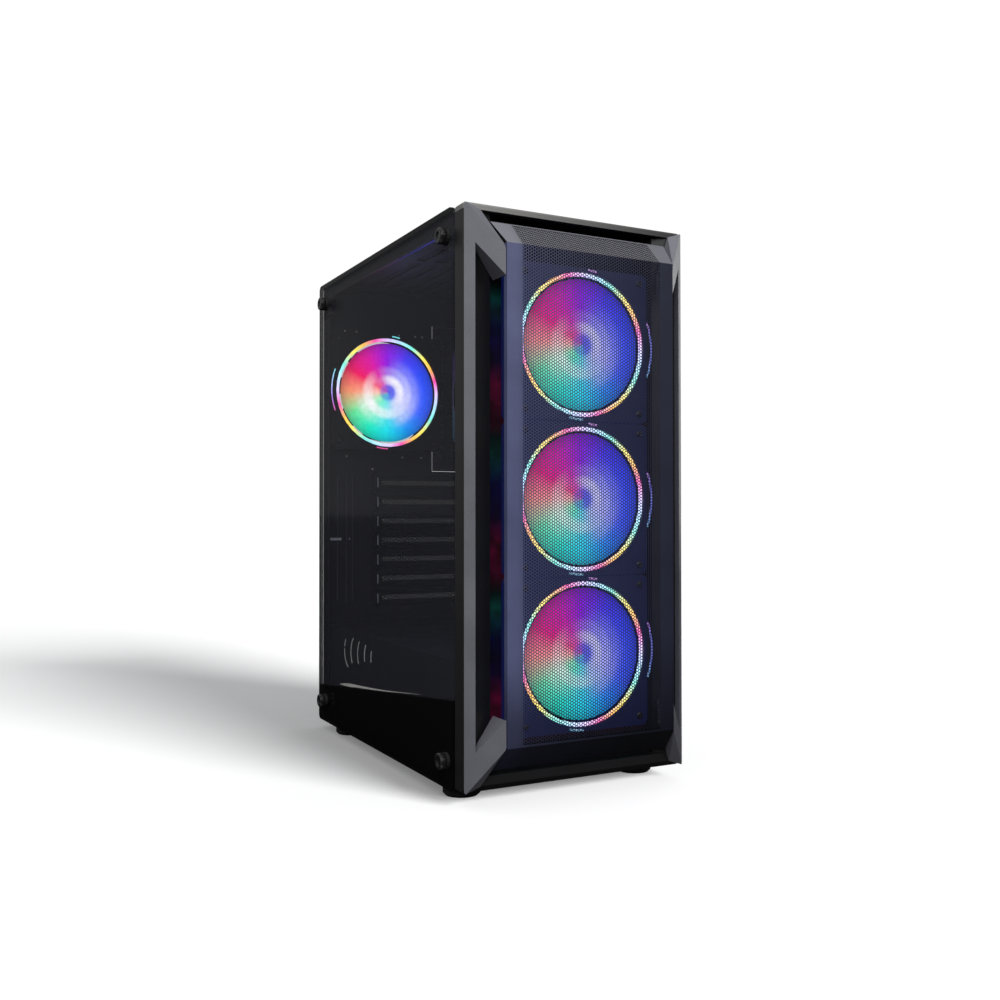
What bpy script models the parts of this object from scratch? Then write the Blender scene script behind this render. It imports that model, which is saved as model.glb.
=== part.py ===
"""Desktop computer tower, built as separate named pieces.

Case coordinates are in millimetres: a runs from the glass side to the right side,
b from the front edge of the bezel to the rear, z up from the underside of the case.
"""

import math

import bmesh
import bpy
from mathutils import Matrix, Vector

MM = 0.001

# Case body
WIDTH = 201.0
REAR = 345.2
SHEET = 1.2
LEFT = 4.5
RIGHT = 197.0
FLOOR_Z = 1.5
TOP_Z = 446.7
RAIL = 13.0
WALL_B = 17.2

# Outer limits used to centre the object on its origin
KNOB_A = -8.0
FRONT_B = -22.6
SCREW_B = 351.0
FOOT_Z = -8.0

# Bezel and front box
BEZEL_A = (0.3, 200.7)
BEZEL_B = (0.0, 16.9)
BEZEL_Z = (3.2, 446.0)
MESH_A = (25.0, 176.0)
MESH_Z = (39.1, 412.9)
LIP_A = (20.4, 180.6)
LIP_B = -4.0
LIP_Z = (20.0, 432.0)
OPENING_Z = (15.0, 441.0)
FACET_FOOT = (13.6, 441.0)
FACET_START_B = -1.3
FACET_TILT = (0.3202, 0.792)

# Fans
FAN = 120.0
FAN_DEPTH = 25.0
FAN_BORE = 57.0
RING = (53.4, 56.6)
HUB = 20.0
BLADE_TIP = 51.6
FRONT_FAN_A = 100.5
FRONT_FAN_B = -8.4
FRONT_FAN_Z = {"top": 344.5, "middle": 223.5, "bottom": 102.5}
REAR_FAN = (66.3, 318.7, 338.7)

# Glass side
GLASS_THICK = 3.0
GLASS_B = (19.8, 345.4)
GLASS_Z = (1.0, 447.4)
SCREW_FRONT = 29.0
SCREW_BACK = 322.0
SCREW_LOW = 23.0
SCREW_HIGH = 425.5

# Rear wall features
SLOT_TOP = 244.9
SLOT_PITCH = 20.32
SLOTS = 7
APERTURE_A = (126.9, 171.4)
APERTURE_Z = (258.0, 417.0)
PSU_A = (22.0, 172.0)
PSU_B = (200.0, 343.5)
PSU_Z = (4.2, 90.2)

# Inner pieces
SHROUD_Z = 98.0
TRAY_A = 178.5
BOARD_A = (171.0, 172.6)
BOARD_B = (98.0, 341.5)
BOARD_Z = (114.0, 419.0)
COOLER = (214.0, 330.0)
REAR_SCREWS = (60.0, 390.0)
REAR_SCREW_A = 193.0

MID = Vector(((KNOB_A + WIDTH) / 2, (FRONT_B + SCREW_B) / 2, FOOT_Z))


def place(a, b, z):
    return (Vector((a, b, z)) - MID) * MM


def clear_scene():
    for item in list(bpy.data.objects):
        bpy.data.objects.remove(item, do_unlink=True)


def collection(name):
    made = bpy.data.collections.new(name)
    bpy.context.scene.collection.children.link(made)
    return made


def material(name, colour, roughness, metallic=0.0, alpha=1.0):
    made = bpy.data.materials.new(name)
    made.use_nodes = True
    shader = made.node_tree.nodes["Principled BSDF"]
    shader.inputs["Base Color"].default_value = (*colour, 1.0)
    shader.inputs["Roughness"].default_value = roughness
    shader.inputs["Metallic"].default_value = metallic
    shader.inputs["Alpha"].default_value = alpha
    return made


clear_scene()
TOWER = collection("computer_tower")
TOOLS = collection("tools")

STEEL = ((0.03, 0.03, 0.033), 0.5, 0.3)
BARE = ((0.45, 0.45, 0.46), 0.4, 0.9)
PLASTIC = ((0.035, 0.036, 0.038), 0.5)
BLACK = ((0.015, 0.015, 0.016), 0.45)
RUBBER = ((0.012, 0.012, 0.012), 0.8)
GREY = ((0.12, 0.12, 0.13), 0.45)
GLOW = ((0.85, 0.85, 0.95), 0.4)
ROTOR = ((0.55, 0.56, 0.65), 0.35)


def register(mesh, name, finish, location, rotation=(0.0, 0.0, 0.0)):
    item = bpy.data.objects.new(name, mesh)
    item.location = location
    item.rotation_euler = rotation
    mesh.materials.clear()
    mesh.materials.append(material(name, *finish))
    TOWER.objects.link(item)
    return item


def mesh_from(bm, name):
    bmesh.ops.recalc_face_normals(bm, faces=bm.faces)
    mesh = bpy.data.meshes.new(name)
    bm.to_mesh(mesh)
    bm.free()
    return mesh


def add_box(bm, low, high):
    size = Vector(high) - Vector(low)
    centre = (Vector(high) + Vector(low)) / 2
    matrix = Matrix.Translation(centre * MM) @ Matrix.Diagonal((*(size * MM), 1.0))
    bmesh.ops.create_cube(bm, size=1.0, matrix=matrix)


def add_rod(bm, centre, axis, radius, length, segments):
    turn = {"X": Matrix.Rotation(math.pi / 2, 4, "Y"), "Y": Matrix.Rotation(math.pi / 2, 4, "X"),
            "Z": Matrix.Identity(4)}[axis]
    matrix = Matrix.Translation(Vector(centre) * MM) @ turn
    bmesh.ops.create_cone(bm, cap_ends=True, segments=segments, radius1=radius * MM,
                          radius2=radius * MM, depth=length * MM, matrix=matrix)


def solids(boxes=(), rods=()):
    bm = bmesh.new()
    for low, high in boxes:
        add_box(bm, low, high)
    for centre, axis, radius, length, segments in rods:
        add_rod(bm, centre, axis, radius, length, segments)
    return bm


def tool(name, bm):
    item = bpy.data.objects.new(name, mesh_from(bm, name))
    item.location = -MID * MM
    item.hide_render = True
    item.display_type = "WIRE"
    TOOLS.objects.link(item)
    return item


def combine(item, bm, operation, label="cut"):
    modifier = item.modifiers.new(label, "BOOLEAN")
    modifier.operation = operation
    modifier.solver = "EXACT"
    modifier.object = tool(f"{item.name}_{label}", bm)


def cut(item, boxes=(), rods=(), label="cut"):
    combine(item, solids(boxes, rods), "DIFFERENCE", label)


def join(item, boxes=(), rods=(), label="join"):
    combine(item, solids(boxes, rods), "UNION", label)


def bevel(item, width, segments=1):
    modifier = item.modifiers.new("edges", "BEVEL")
    modifier.width = width * MM
    modifier.segments = segments
    modifier.limit_method = "ANGLE"


def block(name, low, high, finish):
    bm = bmesh.new()
    size = Vector(high) - Vector(low)
    bmesh.ops.create_cube(bm, size=1.0, matrix=Matrix.Diagonal((*(size * MM), 1.0)))
    centre = (Vector(low) + Vector(high)) / 2
    return register(mesh_from(bm, name), name, finish, place(*centre))


def rectangle(u, v, radius=0.0, steps=4):
    corners = [(u[1], v[1], 0), (u[0], v[1], 90), (u[0], v[0], 180), (u[1], v[0], 270)]
    if not radius:
        return [(x, y) for x, y, _ in corners]
    points = []
    for x, y, start in corners:
        inward = (math.copysign(radius, sum(u) / 2 - x), math.copysign(radius, sum(v) / 2 - y))
        for step in range(steps + 1):
            angle = math.radians(start + 90 * step / steps)
            points.append((x + inward[0] + radius * math.cos(angle),
                           y + inward[1] + radius * math.sin(angle)))
    return points


def circle(u, v, radius, segments):
    turns = [2 * math.pi * step / segments for step in range(segments)]
    return [(u + radius * math.cos(turn), v + radius * math.sin(turn)) for turn in turns]


def hull(points):
    """A convex solid through points of the case."""
    bm = bmesh.new()
    for point in points:
        bm.verts.new(Vector(point) * MM)
    bmesh.ops.convex_hull(bm, input=bm.verts)
    return bm


def plate_mesh(name, loops, thickness, origin):
    curve = bpy.data.curves.new(name, "CURVE")
    curve.dimensions = "2D"
    curve.fill_mode = "BOTH"
    curve.extrude = thickness * MM / 2
    for loop in loops:
        spline = curve.splines.new("POLY")
        spline.points.add(len(loop) - 1)
        for point, (u, v) in zip(spline.points, loop):
            point.co = ((u - origin[0]) * MM, (v - origin[1]) * MM, 0.0, 1.0)
        spline.use_cyclic_u = True
    holder = bpy.data.objects.new(name, curve)
    TOOLS.objects.link(holder)
    mesh = bpy.data.meshes.new_from_object(holder.evaluated_get(bpy.context.evaluated_depsgraph_get()))
    bpy.data.objects.remove(holder, do_unlink=True)
    bm = bmesh.new()
    bm.from_mesh(mesh)
    bmesh.ops.remove_doubles(bm, verts=bm.verts, dist=0.00002)
    bmesh.ops.recalc_face_normals(bm, faces=bm.faces)
    bm.to_mesh(mesh)
    bm.free()
    return mesh


def plate(name, loops, axis, span, finish, origin=None):
    """A flat outline with holes, extruded along one case axis between two positions."""
    flat = [sum(p[0] for p in loops[0]) / len(loops[0]), sum(p[1] for p in loops[0]) / len(loops[0])]
    origin = origin or flat
    mesh = plate_mesh(name, loops, abs(span[1] - span[0]), origin)
    middle = sum(span) / 2
    turn = math.pi / 2
    location, rotation = {
        "X": ((middle, origin[0], origin[1]), (turn, 0.0, turn)),
        "Y": ((origin[0], middle, origin[1]), (turn, 0.0, 0.0)),
        "Z": ((origin[0], origin[1], middle), (0.0, 0.0, 0.0)),
    }[axis]
    return register(mesh, name, finish, place(*location), rotation)


FACING = {"front": (math.pi / 2, 0.0, 0.0), "back": (-math.pi / 2, 0.0, 0.0),
          "left": (0.0, -math.pi / 2, 0.0), "up": (0.0, 0.0, 0.0), "down": (math.pi, 0.0, 0.0)}


def lathe(name, profile, centre, facing, segments, finish):
    """Turns a profile of (radius, height) points about the axis that faces the given way."""
    bm = bmesh.new()
    points = [bm.verts.new((radius * MM, 0.0, height * MM)) for radius, height in profile]
    closed = profile[0][0] > 0
    pairs = list(zip(points, points[1:])) + ([(points[-1], points[0])] if closed else [])
    for pair in pairs:
        bm.edges.new(pair)
    mesh = bpy.data.meshes.new(name)
    bm.to_mesh(mesh)
    bm.free()
    item = register(mesh, name, finish, place(*centre), FACING[facing])
    screw = item.modifiers.new("turn", "SCREW")
    screw.steps = segments
    screw.render_steps = segments
    screw.use_merge_vertices = True
    screw.merge_threshold = 0.00002
    screw.use_smooth_shade = False
    return item


def spider(hub, reach, width, arms=4, steps=5):
    """Outline of a motor mount: a disc with straight arms."""
    points = []
    inner = math.asin(width / 2 / hub)
    outer = math.asin(width / 2 / reach)
    for arm in range(arms):
        turn = math.pi / 4 + 2 * math.pi * arm / arms
        following = turn + 2 * math.pi / arms
        for angle in (turn - outer, turn + outer):
            points.append((reach * math.cos(angle), reach * math.sin(angle)))
        for step in range(steps + 1):
            angle = turn + inner + (following - turn - 2 * inner) * step / steps
            points.append((hub * math.cos(angle), hub * math.sin(angle)))
    return points


def blade(bm, turn, stations):
    """One fan blade lofted through sections of (radius, chord, pitch, thickness, sweep)."""
    rings = []
    for radius, chord, pitch, thickness, sweep in stations:
        along = Vector((0.0, math.cos(pitch), math.sin(pitch)))
        across = Vector((0.0, -math.sin(pitch), math.cos(pitch)))
        ring = []
        for side, face in ((-1, -1), (1, -1), (1, 1), (-1, 1)):
            offset = along * side * chord / 2 + across * face * thickness / 2
            angle = turn + sweep + offset.y / radius
            ring.append(bm.verts.new((radius * math.cos(angle) * MM, radius * math.sin(angle) * MM,
                                      offset.z * MM)))
        rings.append(ring)
    for lower, upper in zip(rings, rings[1:]):
        for side in range(4):
            after = (side + 1) % 4
            bm.faces.new((lower[side], lower[after], upper[after], upper[side]))
    bm.faces.new(rings[0])
    bm.faces.new(reversed(rings[-1]))


def rotor(name, centre, facing, hub, tip, depth, blades, finish):
    item = lathe(name, [(0.0, depth / 2), (hub - 1.5, depth / 2), (hub, depth / 2 - 1.5),
                        (hub, -depth / 2), (0.0, -depth / 2)], centre, facing, 24, finish)
    bm = bmesh.new()
    stations = [(hub - 2.5, depth * 0.75, math.radians(48), 1.6, 0.0),
                ((hub + tip) / 2, depth * 1.05, math.radians(38), 1.6, 0.10),
                (tip, depth * 1.2, math.radians(30), 1.4, 0.24)]
    for step in range(blades):
        blade(bm, 2 * math.pi * step / blades, stations)
    made = tool(f"{name}_blades", bm)
    made.location = item.location
    made.rotation_euler = item.rotation_euler
    modifier = item.modifiers.new("blades", "BOOLEAN")
    modifier.operation = "UNION"
    modifier.solver = "EXACT"
    modifier.object = made
    return item


def fan_frame(name, centre, facing, size, depth, bore, finish):
    """Square frame with a round bore and, at the back, the motor mount and its arms."""
    half = size / 2
    mesh = plate_mesh(name, [rectangle((-half, half), (-half, half), 5.0, 3), circle(0, 0, bore, 40)],
                      depth, (0.0, 0.0))
    item = register(mesh, name, finish, place(*centre), FACING[facing])
    arms = plate_mesh(f"{name}_arms", [spider(HUB * size / FAN, bore + 1.6, 4.4)], 2.4, (0.0, 0.0))
    arms.transform(Matrix.Translation((0.0, 0.0, (1.75 - depth / 2) * MM)))
    holder = bpy.data.objects.new(f"{name}_arms", arms)
    holder.location = item.location
    holder.rotation_euler = item.rotation_euler
    holder.hide_render = True
    holder.display_type = "WIRE"
    TOOLS.objects.link(holder)
    modifier = item.modifiers.new("arms", "BOOLEAN")
    modifier.operation = "UNION"
    modifier.solver = "EXACT"
    modifier.object = holder
    return item


def lit_fan(prefix, a, front, z):
    """A 120 mm fan whose intake face looks forward: frame, light ring and rotor."""
    fan_frame(f"{prefix}_frame", (a, front + FAN_DEPTH / 2, z), "front", FAN, FAN_DEPTH, FAN_BORE, BLACK)
    lathe(f"{prefix}_ring", [(RING[0], 1.5), (RING[1], 1.5), (RING[1], -1.5), (RING[0], -1.5)],
          (a, front + 1.7, z), "front", 36, GLOW)
    rotor(f"{prefix}_rotor", (a, front + 12.0, z), "front", HUB, BLADE_TIP, 17.0, 9, ROTOR)


def channel(name, heights, lip, finish):
    """Floor or top sheet with a lip along both sides, plus tabs for the glass screws."""
    sheet = (heights[0], heights[0] + SHEET) if lip > 0 else (heights[1] - SHEET, heights[1])
    item = block(name, (LEFT, WALL_B + 1.5, sheet[0]), (RIGHT, REAR - 1.5, sheet[1]), finish)
    edge = (sheet[0] + 0.2, heights[0] + lip) if lip > 0 else (heights[1] + lip, sheet[1] - 0.2)
    screw = SCREW_LOW if lip > 0 else SCREW_HIGH
    tab = (sheet[1] - 0.2, screw + 9.0) if lip > 0 else (screw - 9.0, sheet[0] + 0.2)
    back = REAR - 1.5
    join(item, [((LEFT, WALL_B + 1.5, edge[0]), (LEFT + SHEET, back, edge[1])),
                ((RIGHT - SHEET, WALL_B + 1.5, edge[0]), (RIGHT, back, edge[1]))], label="lips")
    tabs = [((LEFT, b - 8.0, tab[0]), (LEFT + SHEET, b + 8.0, tab[1]))
            for b in (SCREW_FRONT + 1.0, SCREW_BACK)]
    join(item, tabs, label="tabs")
    cut(item, rods=[((LEFT, b, screw), "X", 2.8, 8.0, 12) for b in (SCREW_FRONT, SCREW_BACK)],
        label="screws")
    return item


# Chassis
floor = channel("chassis_floor", (FLOOR_Z, FLOOR_Z), RAIL, STEEL)
cut(floor, [((50.0 + 20.0 * row, 215.0, FLOOR_Z - 2), (62.0 + 20.0 * row, 325.0, FLOOR_Z + 4))
            for row in range(5)], label="vents")
top = channel("top_panel", (TOP_Z, TOP_Z), -RAIL, STEEL)
cut(top, [((40.0 + 18.0 * row, 70.0 + 125.0 * bay, TOP_Z - 4),
           (50.0 + 18.0 * row, 185.0 + 125.0 * bay, TOP_Z + 4))
          for row in range(7) for bay in range(2)]
    + [((35.5, 22.5, TOP_Z - 4), (165.5, 37.5, TOP_Z + 4))], label="vents")

fan_holes = [circle(FRONT_FAN_A, z, FAN_BORE, 40) for z in FRONT_FAN_Z.values()]
plate("front_wall", [rectangle((LEFT, RIGHT), (FLOOR_Z, TOP_Z)), *fan_holes], "Y",
      (WALL_B, WALL_B + SHEET), STEEL)

slot_z = [SLOT_TOP - SLOT_PITCH * step for step in range(SLOTS)]
rear_loops = [
    rectangle((LEFT, RIGHT), (FLOOR_Z, TOP_Z)),
    circle(REAR_FAN[0], REAR_FAN[2], FAN_BORE, 40),
    rectangle(APERTURE_A, APERTURE_Z),
    rectangle((PSU_A[0] + 4, PSU_A[1] - 4), (PSU_Z[0] + 4, PSU_Z[1] - 4)),
    *[rectangle((66.0, 170.0), (z - 6.5, z + 6.5)) for z in slot_z],
    *[circle(REAR_SCREW_A, z, 2.6, 12) for z in REAR_SCREWS],
]
rear = plate("rear_panel", rear_loops, "Y", (REAR - SHEET, REAR), STEEL)
join(rear, [((LEFT, 327.0, FLOOR_Z + 34), (LEFT + SHEET, REAR - 0.2, TOP_Z - 34))], label="edge")

tray = plate("motherboard_tray",
             [rectangle((24.0, REAR - 3.0), (SHROUD_Z + 1.5, TOP_Z - SHEET - 0.4)),
              rectangle((56.0, 90.0), (262.0, 338.0), 6.0, 3),
              rectangle((56.0, 90.0), (140.0, 216.0), 6.0, 3),
              rectangle((COOLER[0] - 55, COOLER[0] + 45), (COOLER[1] - 50, COOLER[1] + 50), 6.0, 3)],
             "X", (TRAY_A, TRAY_A + SHEET), STEEL)
join(tray, rods=[((TRAY_A - 2.6, b, z), "X", 3.0, 6.0, 8)
                 for b in (106.0, 222.0, 334.0) for z in (122.0, 268.0, 411.0)], label="standoffs")

shroud = block("psu_shroud", (LEFT + 2.0, 24.0, SHROUD_Z - SHEET), (TRAY_A - 0.4, REAR - 3.0, SHROUD_Z),
               STEEL)
join(shroud, [((LEFT + 2.0, 24.0, FLOOR_Z + 1.6), (LEFT + 2.0 + SHEET, REAR - 3.0, SHROUD_Z - 0.2))],
     label="side")


# Front bezel, brackets and perforated box
bezel = block("front_bezel", (BEZEL_A[0], BEZEL_B[0], BEZEL_Z[0]), (BEZEL_A[1], BEZEL_B[1], BEZEL_Z[1]),
              PLASTIC)
bevel(bezel, 1.6)
funnel = [(9.0, -2.0), (9.0, 0.0), (25.5, 6.0), (25.5, 19.0),
          (WIDTH - 25.5, 19.0), (WIDTH - 25.5, 6.0), (WIDTH - 9.0, 0.0), (WIDTH - 9.0, -2.0)]
opening = plate_mesh("bezel_opening", [funnel], OPENING_Z[1] - OPENING_Z[0], (0.0, 0.0))
opening.transform(Matrix.Translation((0.0, 0.0, sum(OPENING_Z) / 2 * MM)))
bm = bmesh.new()
bm.from_mesh(opening)
combine(bezel, bm, "DIFFERENCE", "opening")
toe = [(a, b, z) for a in (-5.0, WIDTH + 5.0) for b, z in ((-3.0, 11.2), (-3.0, -2.0), (10.2, -2.0))]
combine(bezel, hull(toe), "DIFFERENCE", "toe")

corner_a = BEZEL_A[0]
bracket_outline = [
    (corner_a, BEZEL_Z[1] - 2.0), (corner_a + 1.0, BEZEL_Z[1] - 0.9), FACET_FOOT,
    (MESH_A[0] - 0.5, 408.6), (MESH_A[0] - 0.5, 388.6), (6.8, 414.3),
    (6.8, 34.4), (MESH_A[0] - 0.5, 59.9), (MESH_A[0] - 0.5, 39.8),
    (FACET_FOOT[0], sum(BEZEL_Z) - FACET_FOOT[1]), (corner_a + 1.0, BEZEL_Z[0] + 0.9),
    (corner_a, BEZEL_Z[0] + 2.0),
]
facet = [(a, FACET_START_B + FACET_TILT[0] * (a - corner_a) + FACET_TILT[1] * (z - BEZEL_Z[1]), z)
         for a, z in ((-20.0, 380.0), (60.0, 380.0), (60.0, 470.0), (-20.0, 470.0))]
for side in ("left", "right"):
    mirror = side == "right"
    loop = [(WIDTH - a if mirror else a, z) for a, z in bracket_outline]
    bracket = plate(f"bezel_bracket_{side}", [loop], "Y", (FRONT_B - 4.0, -0.4), GREY)
    wedge = [(corner_a, -0.7), (MESH_A[0], FRONT_B + 0.4), (MESH_A[0], -40.0), (-20.0, -40.0), (-20.0, -0.7)]
    wedge = [(WIDTH - a if mirror else a, b) for a, b in wedge]
    slope = plate_mesh("slope", [wedge], 480.0, (0.0, 0.0))
    slope.transform(Matrix.Translation((0.0, 0.0, 0.224)))
    bm = bmesh.new()
    bm.from_mesh(slope)
    combine(bracket, bm, "DIFFERENCE", "slope")
    for end in (0, 1):
        ahead = [(WIDTH - a if mirror else a, b - reach, sum(BEZEL_Z) - z if end == 0 else z)
                 for a, b, z in facet for reach in (0.0, 80.0)]
        combine(bracket, hull(ahead), "DIFFERENCE", "facet")


def folded_sheet():
    """Front face, two sloping faces with returns and two side returns, as one open sheet."""
    side = 6.0
    rows = [(LIP_A, LIP_B + 3.5, LIP_Z[0]), (LIP_A, LIP_B, LIP_Z[0]), (MESH_A, FRONT_B, MESH_Z[0]),
            (MESH_A, FRONT_B, MESH_Z[1]), (LIP_A, LIP_B, LIP_Z[1]), (LIP_A, LIP_B + 3.5, LIP_Z[1])]
    bm = bmesh.new()
    pairs = [[bm.verts.new(Vector((a, b, z)) * MM) for a in ends] for ends, b, z in rows]
    for lower, upper in zip(pairs, pairs[1:]):
        bm.faces.new((lower[0], lower[1], upper[1], upper[0]))
    for end in (0, 1):
        low, high = pairs[2][end], pairs[3][end]
        back = [bm.verts.new(vert.co + Vector((0.0, side * MM, 0.0))) for vert in (high, low)]
        bm.faces.new((low, high, *back))
    return mesh_from(bm, "front_mesh")


sheet = register(folded_sheet(), "front_mesh", STEEL, -MID * MM)
thicken = sheet.modifiers.new("thickness", "SOLIDIFY")
thicken.thickness = 1.0 * MM
thicken.offset = -1.0

# Fans
for level, z in FRONT_FAN_Z.items():
    lit_fan(f"front_fan_{level}", FRONT_FAN_A, FRONT_FAN_B, z)
lit_fan("rear_fan", *REAR_FAN)

# Glass side with its screws and washers
screw_spots = [(b, z) for b in (SCREW_FRONT, SCREW_BACK) for z in (SCREW_LOW, SCREW_HIGH)]
plate("glass_panel", [rectangle(GLASS_B, GLASS_Z, 5.0, 4), *[circle(b, z, 3.4, 16) for b, z in screw_spots]],
      "X", (0.0, GLASS_THICK), ((0.02, 0.02, 0.025), 0.05, 0.0, 0.4))
for number, (b, z) in enumerate(screw_spots, 1):
    lathe(f"glass_screw_{number}",
          [(0.0, -KNOB_A), (5.6, -KNOB_A), (6.4, -KNOB_A - 0.8), (6.4, 3.1), (2.2, 3.1), (2.2, -6.1),
           (0.0, -6.1)],
          (0.0, b, z), "left", 16, BLACK)
    lathe(f"glass_washer_{number}", [(2.7, 2.8), (6.5, 2.8), (6.5, 0.3), (2.7, 0.3)], (0.0, b, z),
          "left", 16, RUBBER)

# Right side panel and its rear screws
side_loop = [(199.8, 17.5), (WIDTH, 17.5), (WIDTH, 346.8), (188.0, 346.8), (188.0, 345.6), (199.8, 345.6)]
side_panel = plate("right_panel", [side_loop], "Z", (FLOOR_Z, TOP_Z), STEEL)
join(side_panel, [((197.4, 18.0, FLOOR_Z + 0.1), (200.0, 345.0, FLOOR_Z + SHEET)),
                  ((197.4, 18.0, TOP_Z - SHEET), (200.0, 345.0, TOP_Z - 0.1))], label="flanges")
cut(side_panel, rods=[((REAR_SCREW_A, 346.2, z), "Y", 2.6, 4.0, 12) for z in REAR_SCREWS], label="screws")
for number, z in enumerate(REAR_SCREWS, 1):
    lathe(f"right_screw_{number}",
          [(0.0, 4.2), (5.2, 4.2), (6.0, 3.4), (6.0, 0.3), (2.0, 0.3), (2.0, -6.0), (0.0, -6.0)],
          (REAR_SCREW_A, SCREW_B - 4.2, z), "back", 16, BLACK)

# Feet and filters
for number, (a, b) in enumerate([(19.0, 43.0), (182.0, 43.0), (19.0, 300.0), (182.0, 300.0)], 1):
    lathe(f"foot_{number}", [(0.0, 1.2), (15.0, 1.2), (15.0, -6.0), (13.0, FOOT_Z), (0.0, FOOT_Z)],
          (a, b, 0.0), "up", 24, RUBBER)
plate("bottom_filter", [rectangle((38.0, 166.0), (200.0, 347.0), 4.0, 3)], "Z", (-0.8, 1.1), PLASTIC)
plate("top_filter", [rectangle((28.0, 173.0), (60.0, 318.0), 4.0, 3)], "Z", (TOP_Z + 0.3, 448.3), PLASTIC)

# Top control strip
strip = block("io_panel", (30.0, 20.0, TOP_Z + 0.3), (171.0, 40.0, 448.5), PLASTIC)
join(strip, [((36.0, 23.0, 430.0), (165.0, 37.0, TOP_Z + 0.6))], label="body")
cut(strip, [((50.0, 25.0, 433.0), (86.0, 35.0, 452.0))],
    [((100.5, 30.0, 444.0), "Z", 6.6, 20.0, 24), ((124.0, 30.0, 444.0), "Z", 3.4, 20.0, 16),
     ((140.0, 30.0, 444.0), "Z", 1.8, 20.0, 10), ((152.0, 30.0, 444.0), "Z", 1.8, 20.0, 10)], label="holes")
lathe("power_button", [(0.0, 449.6), (5.4, 449.6), (6.2, 448.8), (6.2, 438.0), (0.0, 438.0)],
      (100.5, 30.0, 0.0), "up", 20, GREY)
lathe("reset_button", [(0.0, 449.2), (3.0, 449.2), (3.0, 438.0), (0.0, 438.0)], (124.0, 30.0, 0.0),
      "up", 14, GREY)
for name in ("power_button", "reset_button"):
    bpy.data.objects[name].location.z = place(0.0, 0.0, 0.0).z
sockets = block("usb_ports", (50.4, 25.4, 433.4), (85.6, 34.6, 448.3), BARE)
cut(sockets, [((53.2 + 17.0 * side, 27.0, 437.0), (65.8 + 17.0 * side, 33.0, 452.0)) for side in (0, 1)])

# Expansion slot covers
cover_loop = [(57.6, 332.9), (58.8, 332.9), (58.8, 342.9), (176.0, 342.9), (176.0, 343.7), (57.6, 343.7)]
for number, z in enumerate(slot_z, 1):
    plate(f"slot_cover_{number}", [cover_loop], "Z", (z - 9.3, z + 9.3), STEEL)

# Power supply
supply = block("psu", (PSU_A[0], PSU_B[0], PSU_Z[0]), (PSU_A[1], PSU_B[1], PSU_Z[1]), STEEL)
cut(supply, [((33.0, 332.5, 58.0), (47.0, 350.0, 82.0)), ((60.0, 331.5, 57.0), (90.0, 350.0, 80.0)),
             ((PSU_A[0] + 2, PSU_B[0] + 2, PSU_Z[0] + 2), (PSU_A[1] - 2, 329.5, PSU_Z[1] - 2))],
    label="recesses")
join(supply, [((a - 1.0, 331.0, z - 2.0), (a + 1.0, 341.0, z + 2.0))
              for a, z in ((68.0, 66.0), (75.0, 71.0), (82.0, 66.0))], label="pins")
cut(supply, [((100.0 + 8.0 * column, 328.0, 20.0), (104.0 + 8.0 * column, 350.0, 78.0))
             for column in range(7)]
    + [((42.0 + 14.0 * row, 212.0, 0.0), (49.0 + 14.0 * row, 322.0, 8.0)) for row in range(8)],
    label="grille")
rocker = [(-3.4, -9.8), (3.6, -9.8), (2.6, 0.0), (4.4, 9.8), (-3.4, 9.8)]
mesh = plate_mesh("psu_switch", [rocker], 12.0, (0.0, 0.0))
register(mesh, "psu_switch", BLACK, place(40.0, 340.0, 70.0), (math.pi / 2, 0.0, math.pi / 2))

# Motherboard and what it carries
board = block("motherboard", (BOARD_A[0], BOARD_B[0], BOARD_Z[0]), (BOARD_A[1], BOARD_B[1], BOARD_Z[1]),
              ((0.02, 0.03, 0.028), 0.5))
deep = BOARD_A[0] + 0.4
join(board, [
    ((139.0, 322.0, 272.0), (deep, 341.2, 320.0)), ((139.0, 322.0, 326.0), (deep, 341.2, 362.0)),
    ((148.0, 322.0, 368.0), (deep, 341.2, 404.0)), ((150.0, 309.0, 300.0), (deep, 319.0, 392.0)),
    ((152.0, 226.0, 395.0), (deep, 292.0, 411.0)), ((163.0, 156.6, 254.0), (deep, 163.4, 392.0)),
    ((163.0, 141.6, 254.0), (deep, 148.4, 392.0)), ((164.5, 196.0, 312.0), (deep, 232.0, 348.0)),
    ((160.0, 190.0, 229.0), (deep, 320.0, 236.0)), ((160.0, 190.0, 188.0), (deep, 320.0, 195.0)),
    ((160.0, 101.0, 274.0), (deep, 110.0, 326.0)), ((158.0, 120.0, 130.0), (deep, 176.0, 176.0)),
    ((168.0, 210.0, 206.0), (deep, 300.0, 220.0)),
])
shield = block("io_shield", (APERTURE_A[0] + 0.4, REAR - 2.0, APERTURE_Z[0] + 0.4),
               (APERTURE_A[1] - 0.4, REAR - 0.8, APERTURE_Z[1] - 0.4), BARE)
cut(shield, [((141.0, 340.0, z), (168.0, 350.0, z + 14.0)) for z in (276.0, 296.0, 330.0, 346.0)]
    + [((150.0, 340.0, 372.0), (168.0, 350.0, 400.0))])
cooler = block("cpu_cooler", (129.0, COOLER[0] - 45, COOLER[1] - 45),
               (164.0, COOLER[0] + 45, COOLER[1] + 45), BARE)
cut(cooler, [((118.0, COOLER[0] - 50, COOLER[1] - 41.5 + 8.0 * fin),
              (148.0, COOLER[0] + 50, COOLER[1] - 37.5 + 8.0 * fin))
             for fin in range(11)], label="fins")
cut(cooler, [((152.0, COOLER[0] - 50, COOLER[1] + side * 33 - 15),
              (170.0, COOLER[0] + 50, COOLER[1] + side * 33 + 15))
             for side in (-1, 1)], label="base")
fan_frame("cpu_fan_frame", (120.5, COOLER[0], COOLER[1]), "left", 92.0, 16.0, 43.2, BLACK)
rotor("cpu_fan_rotor", (119.5, COOLER[0], COOLER[1]), "left", 16.0, 41.2, 10.0, 7, GREY)
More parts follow.
